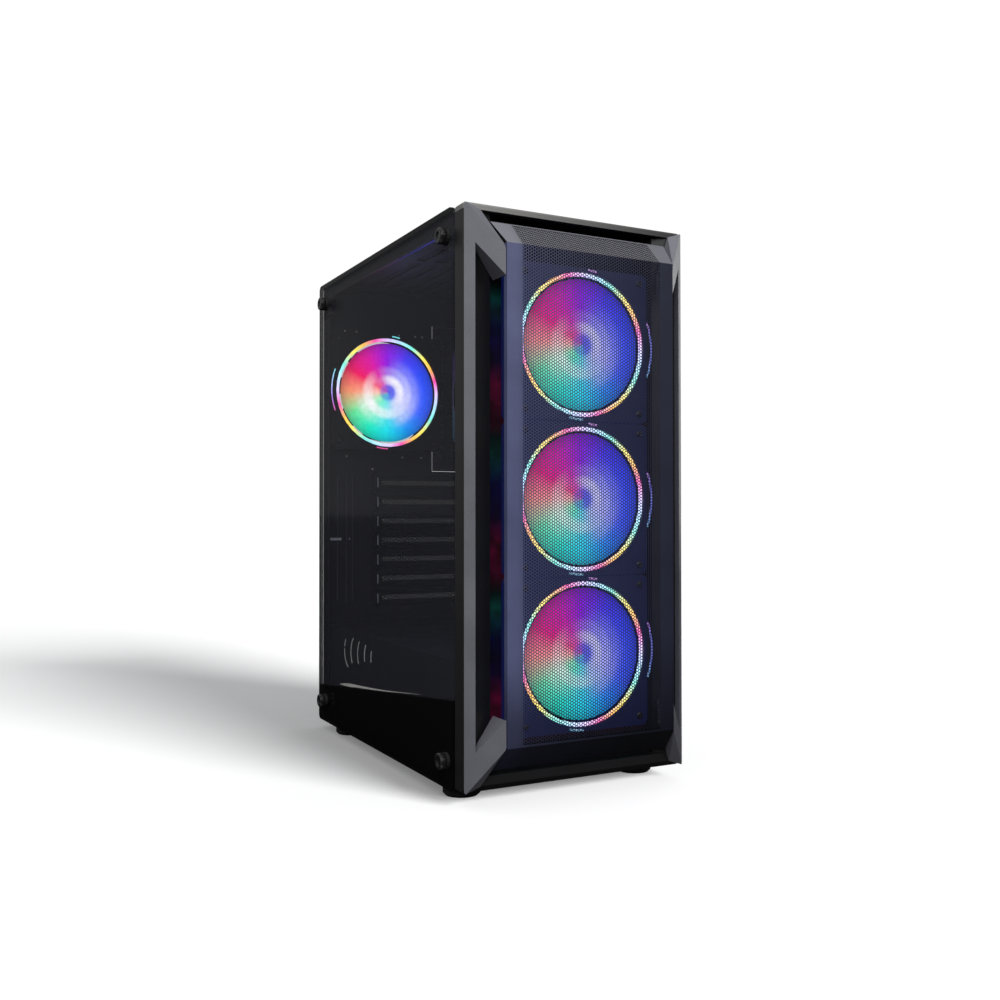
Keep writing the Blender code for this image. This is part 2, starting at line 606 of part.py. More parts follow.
memory = block("memory_module", (136.0, 158.0, 256.5), (162.7, 162.0, 389.5), GREY)
bevel(memory, 0.8)

# Main power cable
route = [(150.0, 199.4, 50.0), (150.0, 176.0, 50.0), (164.0, 140.0, 54.0), (188.0, 112.0, 72.0),
         (188.0, 84.0, 130.0), (188.0, 74.0, 220.0), (187.0, 73.0, 284.0), (176.0, 73.0, 300.0),
         (154.0, 78.0, 300.0), (143.0, 94.0, 300.0), (149.0, 104.5, 300.0), (154.0, 105.5, 300.0),
         (159.3, 105.5, 300.0)]


def smooth(points, steps):
    """Points along a Catmull-Rom curve through the given points."""
    out = []
    ends = [points[0], *points, points[-1]]
    for before, start, end, after in zip(ends, ends[1:], ends[2:], ends[3:]):
        p0, p1, p2, p3 = (Vector(point) for point in (before, start, end, after))
        for step in range(steps):
            t = step / steps
            out.append(0.5 * (2 * p1 + (p2 - p0) * t + (2 * p0 - 5 * p1 + 4 * p2 - p3) * t * t
                              + (3 * p1 - p0 - 3 * p2 + p3) * t ** 3))
    return [*out, Vector(points[-1])]


cable = bpy.data.curves.new("power_cable", "CURVE")
cable.dimensions = "3D"
cable.bevel_depth = 4.5 * MM
cable.bevel_resolution = 1
cable.use_fill_caps = True
spots = smooth(route, 3)
line = cable.splines.new("POLY")
line.points.add(len(spots) - 1)
for point, spot in zip(line.points, spots):
    point.co = (*((spot - MID) * MM), 1.0)
cord = bpy.data.objects.new("power_cable", cable)
cable.materials.append(material("power_cable", (0.02, 0.02, 0.02), 0.7))
TOWER.objects.link(cord)
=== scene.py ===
"""Looks of the desktop computer tower: finishes, perforated sheets, lit fans, floor, light and camera.

Sizes are in millimetres in the case's own coordinates: a runs from the glass side to the right side,
b from the front edge of the bezel rearwards, and z up from the underside of the case.
"""

import math

import bpy
import numpy as np
from mathutils import Euler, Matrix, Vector

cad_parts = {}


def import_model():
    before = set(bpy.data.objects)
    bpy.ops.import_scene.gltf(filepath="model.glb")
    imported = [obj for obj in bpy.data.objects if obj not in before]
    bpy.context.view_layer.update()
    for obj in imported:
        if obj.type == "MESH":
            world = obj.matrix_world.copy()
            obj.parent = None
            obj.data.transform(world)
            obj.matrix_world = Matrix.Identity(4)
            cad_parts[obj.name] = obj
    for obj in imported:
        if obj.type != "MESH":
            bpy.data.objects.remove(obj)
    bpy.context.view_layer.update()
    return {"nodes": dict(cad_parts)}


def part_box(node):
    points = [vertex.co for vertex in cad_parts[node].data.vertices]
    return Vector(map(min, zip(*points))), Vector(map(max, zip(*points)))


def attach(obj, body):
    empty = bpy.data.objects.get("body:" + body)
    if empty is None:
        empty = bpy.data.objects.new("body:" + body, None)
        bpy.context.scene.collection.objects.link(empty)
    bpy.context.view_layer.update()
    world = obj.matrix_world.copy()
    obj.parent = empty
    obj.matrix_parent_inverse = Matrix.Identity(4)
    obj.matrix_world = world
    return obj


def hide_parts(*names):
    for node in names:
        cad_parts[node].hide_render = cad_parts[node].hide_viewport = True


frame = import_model()
NODES = frame["nodes"]
SCENE = bpy.context.scene

MM = 0.001
CASE_ORIGIN = Vector((96.5, 164.2, -8.0))     # case coordinates of the row frame's origin


def at(a, b, z):
    """A point of the case, in the row frame."""
    return (Vector((a, b, z)) - CASE_ORIGIN) * MM


def case_box(node):
    """Lowest and highest corner of a CAD node, in case coordinates."""
    return tuple(np.array(corner / MM + CASE_ORIGIN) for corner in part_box(node))


def tint(red, green, blue):
    """A display colour, 0 to 255 a channel, as the linear colour that shaders take."""
    def linear(value):
        value /= 255
        return value / 12.92 if value <= 0.04045 else ((value + 0.055) / 1.055) ** 2.4
    return (linear(red), linear(green), linear(blue), 1.0)


# Places where a finish, or the light and shade painted on it, changes, as object coordinates in metres

SOFT_EDGE = 0.4 * MM                            # width over which one tone gives way to the next
GLASS_DARK_REFLECTION_TOP, GLASS_DARK_REFLECTION_FALL = 0.063, 0.105      # height of the painted dark reflection at the foot of the glass, and its fall rearwards
GLASS_BORDER_TOP, GLASS_BORDER_REAR = 0.4510, 0.1768
# MESH_SIDES and MESH_HEIGHTS bound the painted sheen and shade of the perforated front; above MESH_FOLD its
# slant is painted pale
MESH_SIDES, MESH_HEIGHTS = (-0.08, 0.09), (0.03, 0.46)
MESH_FOLD = (0.4205, 0.4212)                    # where the perforated front starts to slant
FAN_FOOT, FAN_PITCH = 0.0500, 0.121             # underside of the lowest front fan, and their spacing
STRAY_LIGHT_END = (0.4, 0.385)                  # above this the wall behind the fans is unlit
# BEZEL_OPENING and BEZEL_RECESS bound the painted shade inside the bezel's opening; above BEZEL_TOP the top
# face gets a painted highlight
BEZEL_MIDDLE, BEZEL_OPENING = 0.004, 0.0756     # middle and half width of the bezel's opening
BEZEL_RECESS, BEZEL_TOP = (-0.1588, -0.1582), 0.4488


# Materials

class Finish:
    """A material under construction, with short calls for the nodes that the finishes share."""

    def __init__(self, name):
        self.material = bpy.data.materials.new(name)
        self.material.use_nodes = True
        self.tree = self.material.node_tree
        self.tree.nodes.clear()
        self.bsdf = self.add("BsdfPrincipled")
        self.link(self.bsdf.outputs[0], self.add("OutputMaterial").inputs[0])
        self.place = self.add("TexCoord").outputs["Object"]

    def add(self, kind, **settings):
        node = self.tree.nodes.new("ShaderNode" + kind)
        for key, value in settings.items():
            setattr(node, key, value)
        return node

    def link(self, value, socket):
        if isinstance(value, bpy.types.NodeSocket):
            self.tree.links.new(value, socket)
        else:
            socket.default_value = value

    def set(self, **sockets):
        for name, value in sockets.items():
            self.link(value, self.bsdf.inputs[name.replace("_", " ")])
        return self

    def math(self, operation, first, second=0.0, clamp=False):
        node = self.add("Math", operation=operation, use_clamp=clamp)
        self.link(first, node.inputs[0])
        self.link(second, node.inputs[1])
        return node.outputs[0]

    def span(self, value, low, high, new_low=0.0, new_high=1.0, smooth=False):
        node = self.add("MapRange", interpolation_type="SMOOTHSTEP" if smooth else "LINEAR")
        for socket, number in zip(node.inputs, (value, low, high, new_low, new_high)):
            self.link(number, socket)
        return node.outputs[0]

    def axes(self):
        """The object coordinates x, y and z, in metres."""
        node = self.add("SeparateXYZ")
        self.link(self.place, node.inputs[0])
        return node.outputs

    def plane(self, first, second):
        """A vector from two values."""
        node = self.add("CombineXYZ")
        self.link(first, node.inputs[0])
        self.link(second, node.inputs[1])
        return node.outputs[0]

    def noise(self, scale, detail=2.0, vector=None):
        node = self.add("TexNoise")
        self.link(self.place if vector is None else vector, node.inputs["Vector"])
        self.link(scale, node.inputs["Scale"])
        self.link(detail, node.inputs["Detail"])
        return node.outputs["Fac"]

    def stretched(self, x, y, z):
        node = self.add("Mapping")
        self.link(self.place, node.inputs["Vector"])
        node.inputs["Scale"].default_value = (x, y, z)
        return node.outputs[0]

    def mix(self, factor, first, second):
        node = self.add("Mix", data_type="RGBA")
        for socket, value in ((0, factor), (6, first), (7, second)):
            self.link(value, node.inputs[socket])
        return node.outputs[2]

    def ramp(self, factor, stops):
        """A colour ramp through (position, colour) stops; the first stop is at 0 and the last at 1."""
        node = self.add("ValToRGB")
        elements = node.color_ramp.elements
        for position, colour in stops[1:-1]:
            elements.new(position).color = colour
        elements[0].color, elements[-1].color = stops[0][1], stops[-1][1]
        self.link(factor, node.inputs[0])
        return node.outputs[0]

    def curve(self, factor, stops):
        """A value through (position, value) stops."""
        return self.ramp(factor, [(spot, (level, level, level, 1)) for spot, level in stops])

    def bump(self, height, depth, strength=1.0):
        node = self.add("Bump")
        self.link(height, node.inputs["Height"])
        self.link(depth * MM, node.inputs["Distance"])
        self.link(strength, node.inputs["Strength"])
        self.link(node.outputs[0], self.bsdf.inputs["Normal"])

    def edge(self, radius):
        """1 on corners sharper than the radius in mm, and 0 on flat faces."""
        bevel = self.add("Bevel", samples=4)
        self.link(radius * MM, bevel.inputs["Radius"])
        dot = self.add("VectorMath", operation="DOT_PRODUCT")
        self.link(bevel.outputs[0], dot.inputs[0])
        self.link(self.add("NewGeometry").outputs["Normal"], dot.inputs[1])
        return self.span(dot.outputs["Value"], 0.995, 0.86)


def shade(colour, amount):
    return tuple(channel * amount for channel in colour[:3]) + (1.0,)


def grained(name, colour, rough, grain=1500.0, depth=0.05, blotch=0.3, edge_wear_and_highlight=0.0, edge_radius=0.5,
            **sockets):
    """A coated or moulded surface: fine grain, uneven tone and gloss, and lighter edges that are partly
    rubbed wear and partly a painted highlight.
    """
    finish = Finish(name)
    fine = finish.noise(grain)
    cloud = finish.span(finish.noise(26.0, 5.0), 0.3, 0.7)
    tone = finish.mix(cloud, shade(colour, 1 - blotch), shade(colour, 1 + blotch))
    tone = finish.mix(finish.span(fine, 0.35, 0.7, 0.0, 0.35), tone, shade(colour, 1.7))
    # lighter corners: partly real wear, partly a painted highlight along the edges
    if edge_wear_and_highlight:
        patchy = finish.math("MULTIPLY", finish.edge(edge_radius), finish.span(cloud, 0, 1, 0.4, 1))
        tone = finish.mix(finish.math("MULTIPLY", patchy, edge_wear_and_highlight), tone, shade(colour, 4.0))
    gloss = finish.math("ADD", finish.span(cloud, 0, 1, rough - 0.06, rough + 0.06),
                        finish.span(fine, 0.3, 0.7, -0.04, 0.04))
    finish.set(Base_Color=tone, Roughness=gloss, **sockets)
    finish.bump(fine, depth)
    return finish.material


def brushed(name, colour, rough, along=(60.0, 60.0, 2400.0), **sockets):
    """Metal with fine parallel brush lines."""
    finish = Finish(name)
    lines = finish.noise(1.0, 3.0, finish.stretched(*along))
    cloud = finish.noise(20.0, 4.0)
    tone = finish.mix(finish.span(lines, 0.3, 0.7), shade(colour, 0.7), shade(colour, 1.25))
    gloss = finish.math("ADD", finish.span(lines, 0.3, 0.7, rough - 0.08, rough + 0.08),
                        finish.span(cloud, 0.3, 0.7, -0.05, 0.05))
    finish.set(Base_Color=tone, Roughness=gloss, Metallic=1.0, **sockets)
    finish.bump(lines, 0.02)
    return finish.material


def circuit(name):
    """Dark solder mask over copper tracks, with pale printed component outlines."""
    finish = Finish(name)
    mask = tint(17, 22, 24)
    tracks = finish.add("TexBrick", offset=0.35, squash=0.6, squash_frequency=3)
    _, y, z = finish.axes()
    finish.link(finish.plane(y, z), tracks.inputs["Vector"])
    for key, value in (("Scale", 95.0), ("Mortar Size", 0.022), ("Mortar Smooth", 0.2)):
        finish.link(value, tracks.inputs[key])
    tracks.inputs["Color1"].default_value = mask
    tracks.inputs["Color2"].default_value = shade(mask, 1.5)
    tracks.inputs["Mortar"].default_value = tint(52, 62, 50)
    speck = finish.span(finish.noise(900.0, 1.0), 0.68, 0.72)
    tone = finish.mix(speck, tracks.outputs[0], tint(150, 140, 105))
    finish.set(Base_Color=tone, Roughness=finish.span(speck, 0, 1, 0.42, 0.25),
               Specular_IOR_Level=0.5)
    finish.bump(tracks.outputs["Fac"], -0.05)
    return finish.material


def clock(finish, repeats=1):
    """How far round a fan a point lies, clockwise from 6 o'clock as a share of a turn, and how far out."""
    x, _, z = finish.axes()
    face = finish.plane(z, x)
    radial = finish.add("TexGradient", gradient_type="RADIAL")
    finish.link(face, radial.inputs[0])
    turn = radial.outputs["Fac"]
    if repeats > 1:
        turn = finish.math("FRACT", finish.math("MULTIPLY", turn, repeats))
    out = finish.add("VectorMath", operation="LENGTH")
    finish.link(face, out.inputs[0])
    return turn, out.outputs["Value"]


BLADE_REACH = 51.6        # how far the fan blades reach from the shaft


def glowing_blades(name, strength, pale, violet):
    """The lit rotor: a colour wheel round a blue hub, with a pale halo and a dimmer rim."""
    finish = Finish(name)
    turn, out = clock(finish)
    out = finish.math("DIVIDE", out, BLADE_REACH * MM)
    wheel = finish.ramp(turn, [
        (0.0, tint(0, 222, 238)), (0.083, tint(0, 238, 195)), (0.167, tint(105, 235, 160)),
        (0.25, tint(250, 150, 112)), (0.33, tint(240, 10, 98)), (0.417, tint(218, 2, 165)),
        (0.5, tint(140, 10, 225)), (0.583, tint(66, 58, 250)), (0.667, tint(40, 75, 253)),
        (0.833, tint(52, 98, 255)), (0.917, tint(0, 150, 250)), (1.0, tint(0, 222, 238))])
    wheel = finish.mix(violet, wheel, tint(120, 40, 255))
    inner = finish.curve(turn, [(0, 0.25), (0.083, 0.2), (0.167, 0.35), (0.25, 0.38), (0.33, 0.12),
                                (0.417, 0.14), (0.5, 0.7), (0.583, 0.92), (0.75, 0.88),
                                (0.833, 0.8), (0.917, 0.62), (1, 0.25)])
    near = finish.curve(turn, [(0, 0.6), (0.083, 0.72), (0.167, 0.95), (0.25, 0.6), (0.33, 0.36),
                               (0.417, 0.02), (0.5, 0.17), (0.583, 0.34), (0.667, 0.42),
                               (0.75, 0.52), (0.833, 0.6), (0.917, 0.62), (1, 0.6)])
    far = finish.curve(turn, [(0, 0.04), (0.083, 0.22), (0.167, 0.58), (0.25, 0.09), (0.31, 0),
                              (0.5, 0), (0.583, 0.13), (0.667, 0.17), (0.75, 0.22), (0.833, 0.36),
                              (0.917, 0.38), (0.97, 0.1), (1, 0.04)])
    halo = finish.curve(out, [(0, 0.0), (0.13, 0.04), (0.19, 0.75), (0.25, 1.0), (0.6, 1.0),
                              (0.74, 0.12), (0.82, 0.0), (1, 0)])
    ring = finish.mix(finish.span(out, 0.28, 0.4, smooth=True), inner, near)
    ring = finish.mix(finish.span(out, 0.45, 0.58, smooth=True), ring, far)
    halo = finish.math("MULTIPLY", halo, ring)
    hub = finish.mix(0.55, wheel, tint(125, 125, 255))
    colour = finish.mix(finish.span(out, 0.13, 0.2), hub, wheel)
    colour = finish.mix(finish.math("MULTIPLY", halo, pale), colour, tint(252, 250, 255))
    level = finish.curve(out, [(0, 0.8), (0.12, 0.84), (0.2, 1.0), (0.6, 1.0), (0.78, 0.96),
                               (0.9, 0.78), (1, 0.5)])
    streaks = finish.noise(1.0, 3.0, finish.stretched(220.0, 1.0, 220.0))
    level = finish.math("MULTIPLY", level, finish.span(streaks, 0.2, 0.8, 0.88, 1.1))
    level = finish.math("MULTIPLY", level, strength)
    finish.set(Base_Color=tint(6, 6, 8), Roughness=0.6, Specular_IOR_Level=0.05,
               Emission_Color=colour, Emission_Strength=level)
    return finish.material


def light_ring(name, strength):
    """A diffuser ring: four runs of lavender, cyan, yellow and pink."""
    finish = Finish(name)
    turn, _ = clock(finish, 4)
    colour = finish.ramp(turn, [
        (0.0, tint(214, 196, 255)), (0.16, tint(170, 222, 252)), (0.32, tint(110, 232, 212)),
        (0.5, tint(244, 230, 84)), (0.66, tint(252, 186, 50)), (0.83, tint(236, 50, 160)),
        (1.0, tint(214, 196, 255))])
    level = finish.span(finish.noise(240.0, 2.0), 0.25, 0.75, 0.85 * strength, 1.15 * strength)
    finish.set(Base_Color=tint(225, 225, 230), Roughness=0.35, Emission_Color=colour,
               Emission_Strength=level)
    return finish.material


def accent(name, stops, strength):
    """A short light pipe beside a fan; its colour changes along its height."""
    finish = Finish(name)
    height = finish.span(finish.axes()[2], -24 * MM, 24 * MM)
    colour = finish.ramp(height, stops)
    level = finish.span(finish.noise(300.0, 2.0), 0.25, 0.75, 0.6 * strength, 1.3 * strength)
    finish.set(Base_Color=tint(200, 200, 210), Roughness=0.4, Emission_Color=colour,
               Emission_Strength=level)
    return finish.material


def smoked_glass(name):
    """Tinted tempered glass with faint smears, a printed border and, low down, a painted dark reflection
    that leaves it nearly opaque.
    """
    finish = Finish(name)
    _, y, z = finish.axes()
    # painted reflection: below a line that falls rearwards the glass is dark and nearly opaque, standing in
    # for a dark floor reflected in it; the top and rear border is print
    band = finish.math("ADD", z, finish.math("MULTIPLY", y, GLASS_DARK_REFLECTION_FALL))
    print_and_dark_reflection = finish.span(band, GLASS_DARK_REFLECTION_TOP + SOFT_EDGE, GLASS_DARK_REFLECTION_TOP - SOFT_EDGE)
    for axis, edge in ((z, GLASS_BORDER_TOP), (y, GLASS_BORDER_REAR)):
        print_and_dark_reflection = finish.math("MAXIMUM", print_and_dark_reflection, finish.span(axis, edge, edge + SOFT_EDGE))
    smear = finish.noise(9.0, 5.0)
    finish.set(Base_Color=finish.mix(print_and_dark_reflection, tint(64, 65, 74), tint(14, 14, 15)),
               Roughness=finish.span(smear, 0.3, 0.7, 0.03, 0.08),
               Alpha=finish.mix(print_and_dark_reflection, (0.3, 0.3, 0.3, 1), (0.95, 0.95, 0.95, 1)),
               Specular_IOR_Level=0.06)
    return finish.material


def mesh_coat_with_painted_light(name):
    """Bluish satin coat of the perforated front, with painted light: its painted sheen fades from the left
    edge and from the top into painted shade, and the slant at the top is painted pale.
    """
    finish = Finish(name)
    x, _, z = finish.axes()
    # painted sheen: brightest at the left edge and high up, fading to the right and towards the bottom
    painted_sheen = finish.curve(finish.span(x, *MESH_SIDES),
                         [(0, 1.0), (0.1, 0.95), (0.16, 0.62), (0.5, 0.34), (0.8, 0.2), (1, 0.16)])
    painted_sheen = finish.math("MULTIPLY", painted_sheen, finish.curve(
        finish.span(z, *MESH_HEIGHTS), [(0, 0.22), (0.08, 0.4), (0.2, 1.0), (1, 1.0)]))
    painted_sheen = finish.math("MAXIMUM", painted_sheen, finish.span(z, *MESH_FOLD, 0.0, 0.8))
    fine, cloud = finish.noise(1600.0), finish.span(finish.noise(26.0, 5.0), 0.3, 0.7)
    colour = tint(90, 95, 130)
    tone = finish.mix(cloud, shade(colour, 0.85), shade(colour, 1.15))
    # painted highlight: the slanted top is made pale grey
    tone = finish.mix(finish.span(z, *MESH_FOLD), tone, tint(122, 121, 124))
    tone = finish.mix(finish.span(fine, 0.35, 0.7, 0.0, 0.3), tone, shade(colour, 1.5))
    # where the painted sheen is low the colour goes near black: painted shade
    finish.set(Base_Color=finish.mix(painted_sheen, tint(6, 6, 9), tone),
               Roughness=finish.span(fine, 0.3, 0.7, 0.3, 0.38), Specular_IOR_Level=0.3)
    finish.bump(fine, 0.03)
    return finish.material


def inner_wall(name):
    """The wall that carries the front fans: black, with a little stray light from each fan."""
    finish = Finish(name)
    _, _, z = finish.axes()
    level = finish.math("FRACT", finish.math("DIVIDE", finish.math("SUBTRACT", z, FAN_FOOT), FAN_PITCH))
    hue = finish.ramp(level, [(0, tint(60, 0, 30)), (0.22, tint(90, 0, 45)), (0.38, tint(20, 0, 50)),
                              (0.6, tint(0, 2, 60)), (0.8, tint(0, 60, 55)), (0.9, tint(0, 20, 20)),
                              (1, tint(60, 0, 30))])
    patch = finish.noise(70.0, 3.0)
    finish.set(Base_Color=finish.mix(patch, tint(5, 5, 6), tint(10, 10, 13)), Roughness=0.7,
               Specular_IOR_Level=0.15, Emission_Color=hue,
               Emission_Strength=finish.math("MULTIPLY", finish.span(patch, 0.3, 0.7, 0.1, 0.5),
                                             finish.span(z, *STRAY_LIGHT_END)))
    return finish.material


def moulded_bezel(name):
    """The front moulding: dark grained plastic, with painted shade that makes it black inside its opening,
    a painted highlight that makes its top face pale, and lighter edges that are partly wear and partly a
    painted highlight.
    """
    finish = Finish(name)
    x, y, z = finish.axes()
    # painted shade: inside the opening the moulding is made near black
    middle = finish.math("ABSOLUTE", finish.math("SUBTRACT", x, BEZEL_MIDDLE))
    inner = finish.math("MULTIPLY", finish.span(middle, BEZEL_OPENING, BEZEL_OPENING - SOFT_EDGE),
                        finish.span(y, *BEZEL_RECESS))
    fine, cloud = finish.noise(1700.0), finish.span(finish.noise(26.0, 5.0), 0.3, 0.7)
    colour = tint(20, 20, 22)
    tone = finish.mix(cloud, shade(colour, 0.75), shade(colour, 1.3))
    tone = finish.mix(finish.span(fine, 0.35, 0.7, 0.0, 0.35), tone, shade(colour, 1.7))
    # lighter edges: partly wear, partly a painted highlight
    tone = finish.mix(finish.math("MULTIPLY", finish.edge(0.5), 0.3), tone, shade(colour, 4.0))
    # painted highlight: the top face is made pale, brightest at the left and fading to the right
    rim = finish.math("MULTIPLY", finish.span(z, BEZEL_TOP, BEZEL_TOP + SOFT_EDGE),
                      finish.span(x, 0.09, -0.08, 0.12, 1.0))
    tone = finish.mix(rim, tone, tint(132, 131, 129))
    finish.set(Base_Color=finish.mix(inner, tone, tint(5, 5, 7)),
               Roughness=finish.span(inner, 0.0, 1.0, 0.46, 0.8))
    finish.bump(fine, 0.04)
    return finish.material


finishes = {
    "black_steel": grained("coated_steel", tint(26, 26, 29), 0.5, 1400, 0.05, edge_wear_and_highlight=0.35),
    "bare_steel": brushed("bare_steel", tint(150, 152, 156), 0.32),
    "bezel_plastic": moulded_bezel("moulded_bezel"),
    "bracket_grey": grained("satin_bracket", tint(104, 104, 112), 0.42, 1900, 0.03, 0.14, edge_wear_and_highlight=0.15),
    "mesh_steel": mesh_coat_with_painted_light("perforated_steel"),
    "fan_black": grained("fan_frame_plastic", tint(20, 20, 22), 0.55, 1500, 0.04, edge_wear_and_highlight=0.3),
    "ring_diffuser": light_ring("ring_light", 1.0),
    "rotor_plastic": grained("rotor_blades", tint(40, 42, 52), 0.4, 900, 0.03),
    "smoked_glass": smoked_glass("smoked_glass"),
    "screw_black": grained("blackened_screw", tint(24, 24, 26), 0.3, 1200, 0.03, edge_wear_and_highlight=0.6),
    "rubber": grained("rubber", tint(15, 15, 16), 0.75, 900, 0.08, 0.15),
    "filter_mesh": grained("filter_weave", tint(24, 24, 26), 0.6, 2200, 0.08, 0.2),
    "button_grey": brushed("button_metal", tint(120, 121, 126), 0.3, (2400.0, 60.0, 60.0)),
    "circuit_board": circuit("circuit_board"),
    "heatsink": brushed("heatsink_aluminium", tint(172, 174, 178), 0.34, (60.0, 2200.0, 60.0)),
    "memory_grey": brushed("memory_spreader", tint(84, 86, 92), 0.38, (60.0, 60.0, 2000.0)),
    "cable_black": grained("cable_sleeve", tint(14, 14, 15), 0.7, 1300, 0.3, 0.1),
}
for node in NODES.values():
    for holder in node.material_slots:
        holder.material = finishes[holder.material.name.split(".")[0]]
NODES["front_wall"].material_slots[0].material = inner_wall("front_wall_coat")
# painted light: the front fan frames glow faintly blue, as emission standing in for fan light falling on
# them
lit_frame = grained("lit_fan_frame", tint(12, 12, 16), 0.55, 1500, 0.04,
                    Emission_Color=tint(50, 84, 235), Emission_Strength=0.045)
for level in ("top", "middle", "bottom"):
    NODES[f"front_fan_{level}_frame"].material_slots[0].material = lit_frame


# Mesh building

class Build:
    """Vertices and faces gathered for one piece."""

    def __init__(self):
        self.points, self.faces = [], []

    def add(self, points, faces):
        start = len(self.points)
        self.points.extend(tuple(point) for point in points)
        self.faces.extend(tuple(start + int(corner) for corner in face) for face in faces)
        return self

    def quad(self, *corners):
        return self.add(corners, [range(len(corners))])

    def slab(self, low, high):
        """A rectangular block between two corners."""
        (x0, y0, z0), (x1, y1, z1) = low, high
        corners = [(x, y, z) for x in (x0, x1) for y in (y0, y1) for z in (z0, z1)]
        return self.add(corners, [(0, 1, 3, 2), (4, 6, 7, 5), (0, 4, 5, 1), (2, 3, 7, 6),
                                  (0, 2, 6, 4), (1, 5, 7, 3)])

    def bar(self, points, normal, across, along, sides=10, closed=False):
        """A bar of oval section along points that lie in the plane with that normal."""
        points, normal = np.array(points, float), np.array(normal, float)
        ahead = np.roll(points, -1, 0) - np.roll(points, 1, 0)
        if not closed:
            ahead[0], ahead[-1] = points[1] - points[0], points[-1] - points[-2]
        side = np.cross(ahead / np.linalg.norm(ahead, axis=1)[:, None], normal)
        turn = np.linspace(0, 2 * math.pi, sides, endpoint=False)
        ring = (points[:, None] + side[:, None] * (np.cos(turn) * across)[None, :, None]
                + normal * (np.sin(turn) * along)[None, :, None])
        count = len(points)
        faces = [(i * sides + j, i * sides + (j + 1) % sides,
                  (i + 1) % count * sides + (j + 1) % sides, (i + 1) % count * sides + j)
                 for i in range(count if closed else count - 1) for j in range(sides)]
        if not closed:
            faces += [range(sides)[::-1], range((count - 1) * sides, count * sides)]
        return self.add(ring.reshape(-1, 3), faces)

    def lathe(self, profile, teeth=0, tooth_depth=0.0, steps=48):
        """A turned shape about +Y through the origin; profile is (radius, y, ridged) from front to back."""
        steps = teeth * 4 if teeth else steps
        points = []
        for radius, y, ridged in profile:
            for step in range(steps):
                angle = 2 * math.pi * step / steps
                reach = radius - (tooth_depth if ridged and step % 4 in (2, 3) else 0.0)
                points.append((reach * math.sin(angle), y, reach * math.cos(angle)))
        rows = len(profile)
        faces = [(i * steps + j, (i + 1) * steps + j, (i + 1) * steps + (j + 1) % steps,
                  i * steps + (j + 1) % steps) for i in range(rows - 1) for j in range(steps)]
        faces += [range(steps), range((rows - 1) * steps, rows * steps)[::-1]]
        return self.add(points, faces)

    def mesh(self, name, smooth=True):
        mesh = bpy.data.meshes.new(name)
        mesh.from_pydata(self.points, [], [list(face) for face in self.faces])
        mesh.update()
        if smooth:
            mesh.shade_smooth()
            mesh.set_sharp_from_angle(angle=math.radians(35))
        return mesh


def piece(name, mesh, body, slot, material=None, stands_for=(), centre=None, turn=None):
    """A new visible piece that rides on a CAD body."""
    made = bpy.data.objects.new(name, mesh)
    SCENE.collection.objects.link(made)
    if centre is not None:
        made.location = at(*centre)
    if turn is not None:
        made.rotation_euler = turn
    mesh.materials.append(material or finishes[slot])
    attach(made, body)
    if stands_for:
        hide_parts(*stands_for)
    return made


def honeycomb(width, height, pitch, hole):
    """A sheet of hexagonal holes centred on the origin: 2D points, quads, and its half width and height."""
    corner = pitch / math.sqrt(3)
    columns = int((width - corner / 2) / (1.5 * corner))
    rows = int(height / pitch - 0.5)
    i, j = (grid.ravel() for grid in np.meshgrid(np.arange(columns), np.arange(rows), indexing="ij"))
    centre = np.stack([(i - (columns - 1) / 2) * 1.5 * corner,
                       (j - (rows - 1) / 2 + (i % 2) * 0.5 - 0.25) * pitch], 1)
    angle = np.radians(60 * np.arange(6))
    spoke = np.stack([np.cos(angle), np.sin(angle)], 1)
    outer = (centre[:, None] + spoke * corner).reshape(-1, 2)
    _, first, which = np.unique(np.round(outer, 3), axis=0, return_index=True, return_inverse=True)
    which = which.reshape(-1, 6)
    inner = (centre[:, None] + spoke * hole).reshape(-1, 2)
    own = len(first) + np.arange(len(inner)).reshape(-1, 6)
    ahead = np.roll(np.arange(6), -1)
    quads = np.stack([which, which[:, ahead], own[:, ahead], own], 2).reshape(-1, 4)
    points = np.concatenate([outer[first], inner])
    return points, quads, np.abs(points).max(0) - (0.55 * corner, 0.55 * pitch)


def perforated(build, low, high, margin, pitch, hole, place):
    """Adds a sheet from low to high in 2D, holed inside its margin; place maps (u, v, depth) to 3D."""
    low, high = np.array(low, float), np.array(high, float)
    middle, size = (low + high) / 2, high - low
    points, quads, half = honeycomb(*(size - 2 * margin), pitch, hole)
    build.add([place(u + middle[0], v + middle[1], 0.12) for u, v in points], quads)
    (u0, v0), (u3, v3) = low, high
    (u1, v1), (u2, v2) = middle - half, middle + half
    for left, bottom, right, top in ((u0, v0, u3, v1), (u0, v2, u3, v3), (u0, v1, u1, v2),
                                     (u2, v1, u3, v2)):
        build.quad(*(place(u, v, 0.0) for u, v in ((left, bottom), (right, bottom), (right, top),
                                                   (left, top))))
    return build


# Perforated front: a sheet folded back at the top, between solid strips

mesh_low, mesh_high = case_box("front_mesh")
FRONT_B = mesh_low[1]                          # outer face
LIP_B = FRONT_B + 18.6                         # where the slanted parts meet the bezel
FACE_A, FACE_Z = (25.0, 176.0), (39.1, 412.9)  # flat part of the front
LIP_A, LIP_Z = (mesh_low[0], mesh_high[0]), (mesh_low[2], mesh_high[2])
HOLES_A = (38.3, 163.1)                        # perforated width
HOLE_PITCH, HOLE_RADIUS = 2.32, 0.94
LIP_MARGIN = 1.2


def front_point(a, run, depth=0.0):
    """A point of the folded front: run goes up the flat part, then back along the slanted one."""
    beyond = max(0.0, run - FACE_Z[1])
    rise, back = LIP_Z[1] - FACE_Z[1], LIP_B - FRONT_B
    share = beyond / math.hypot(rise, back)
    return at(a, FRONT_B + share * back + depth, min(run, FACE_Z[1]) + share * rise)


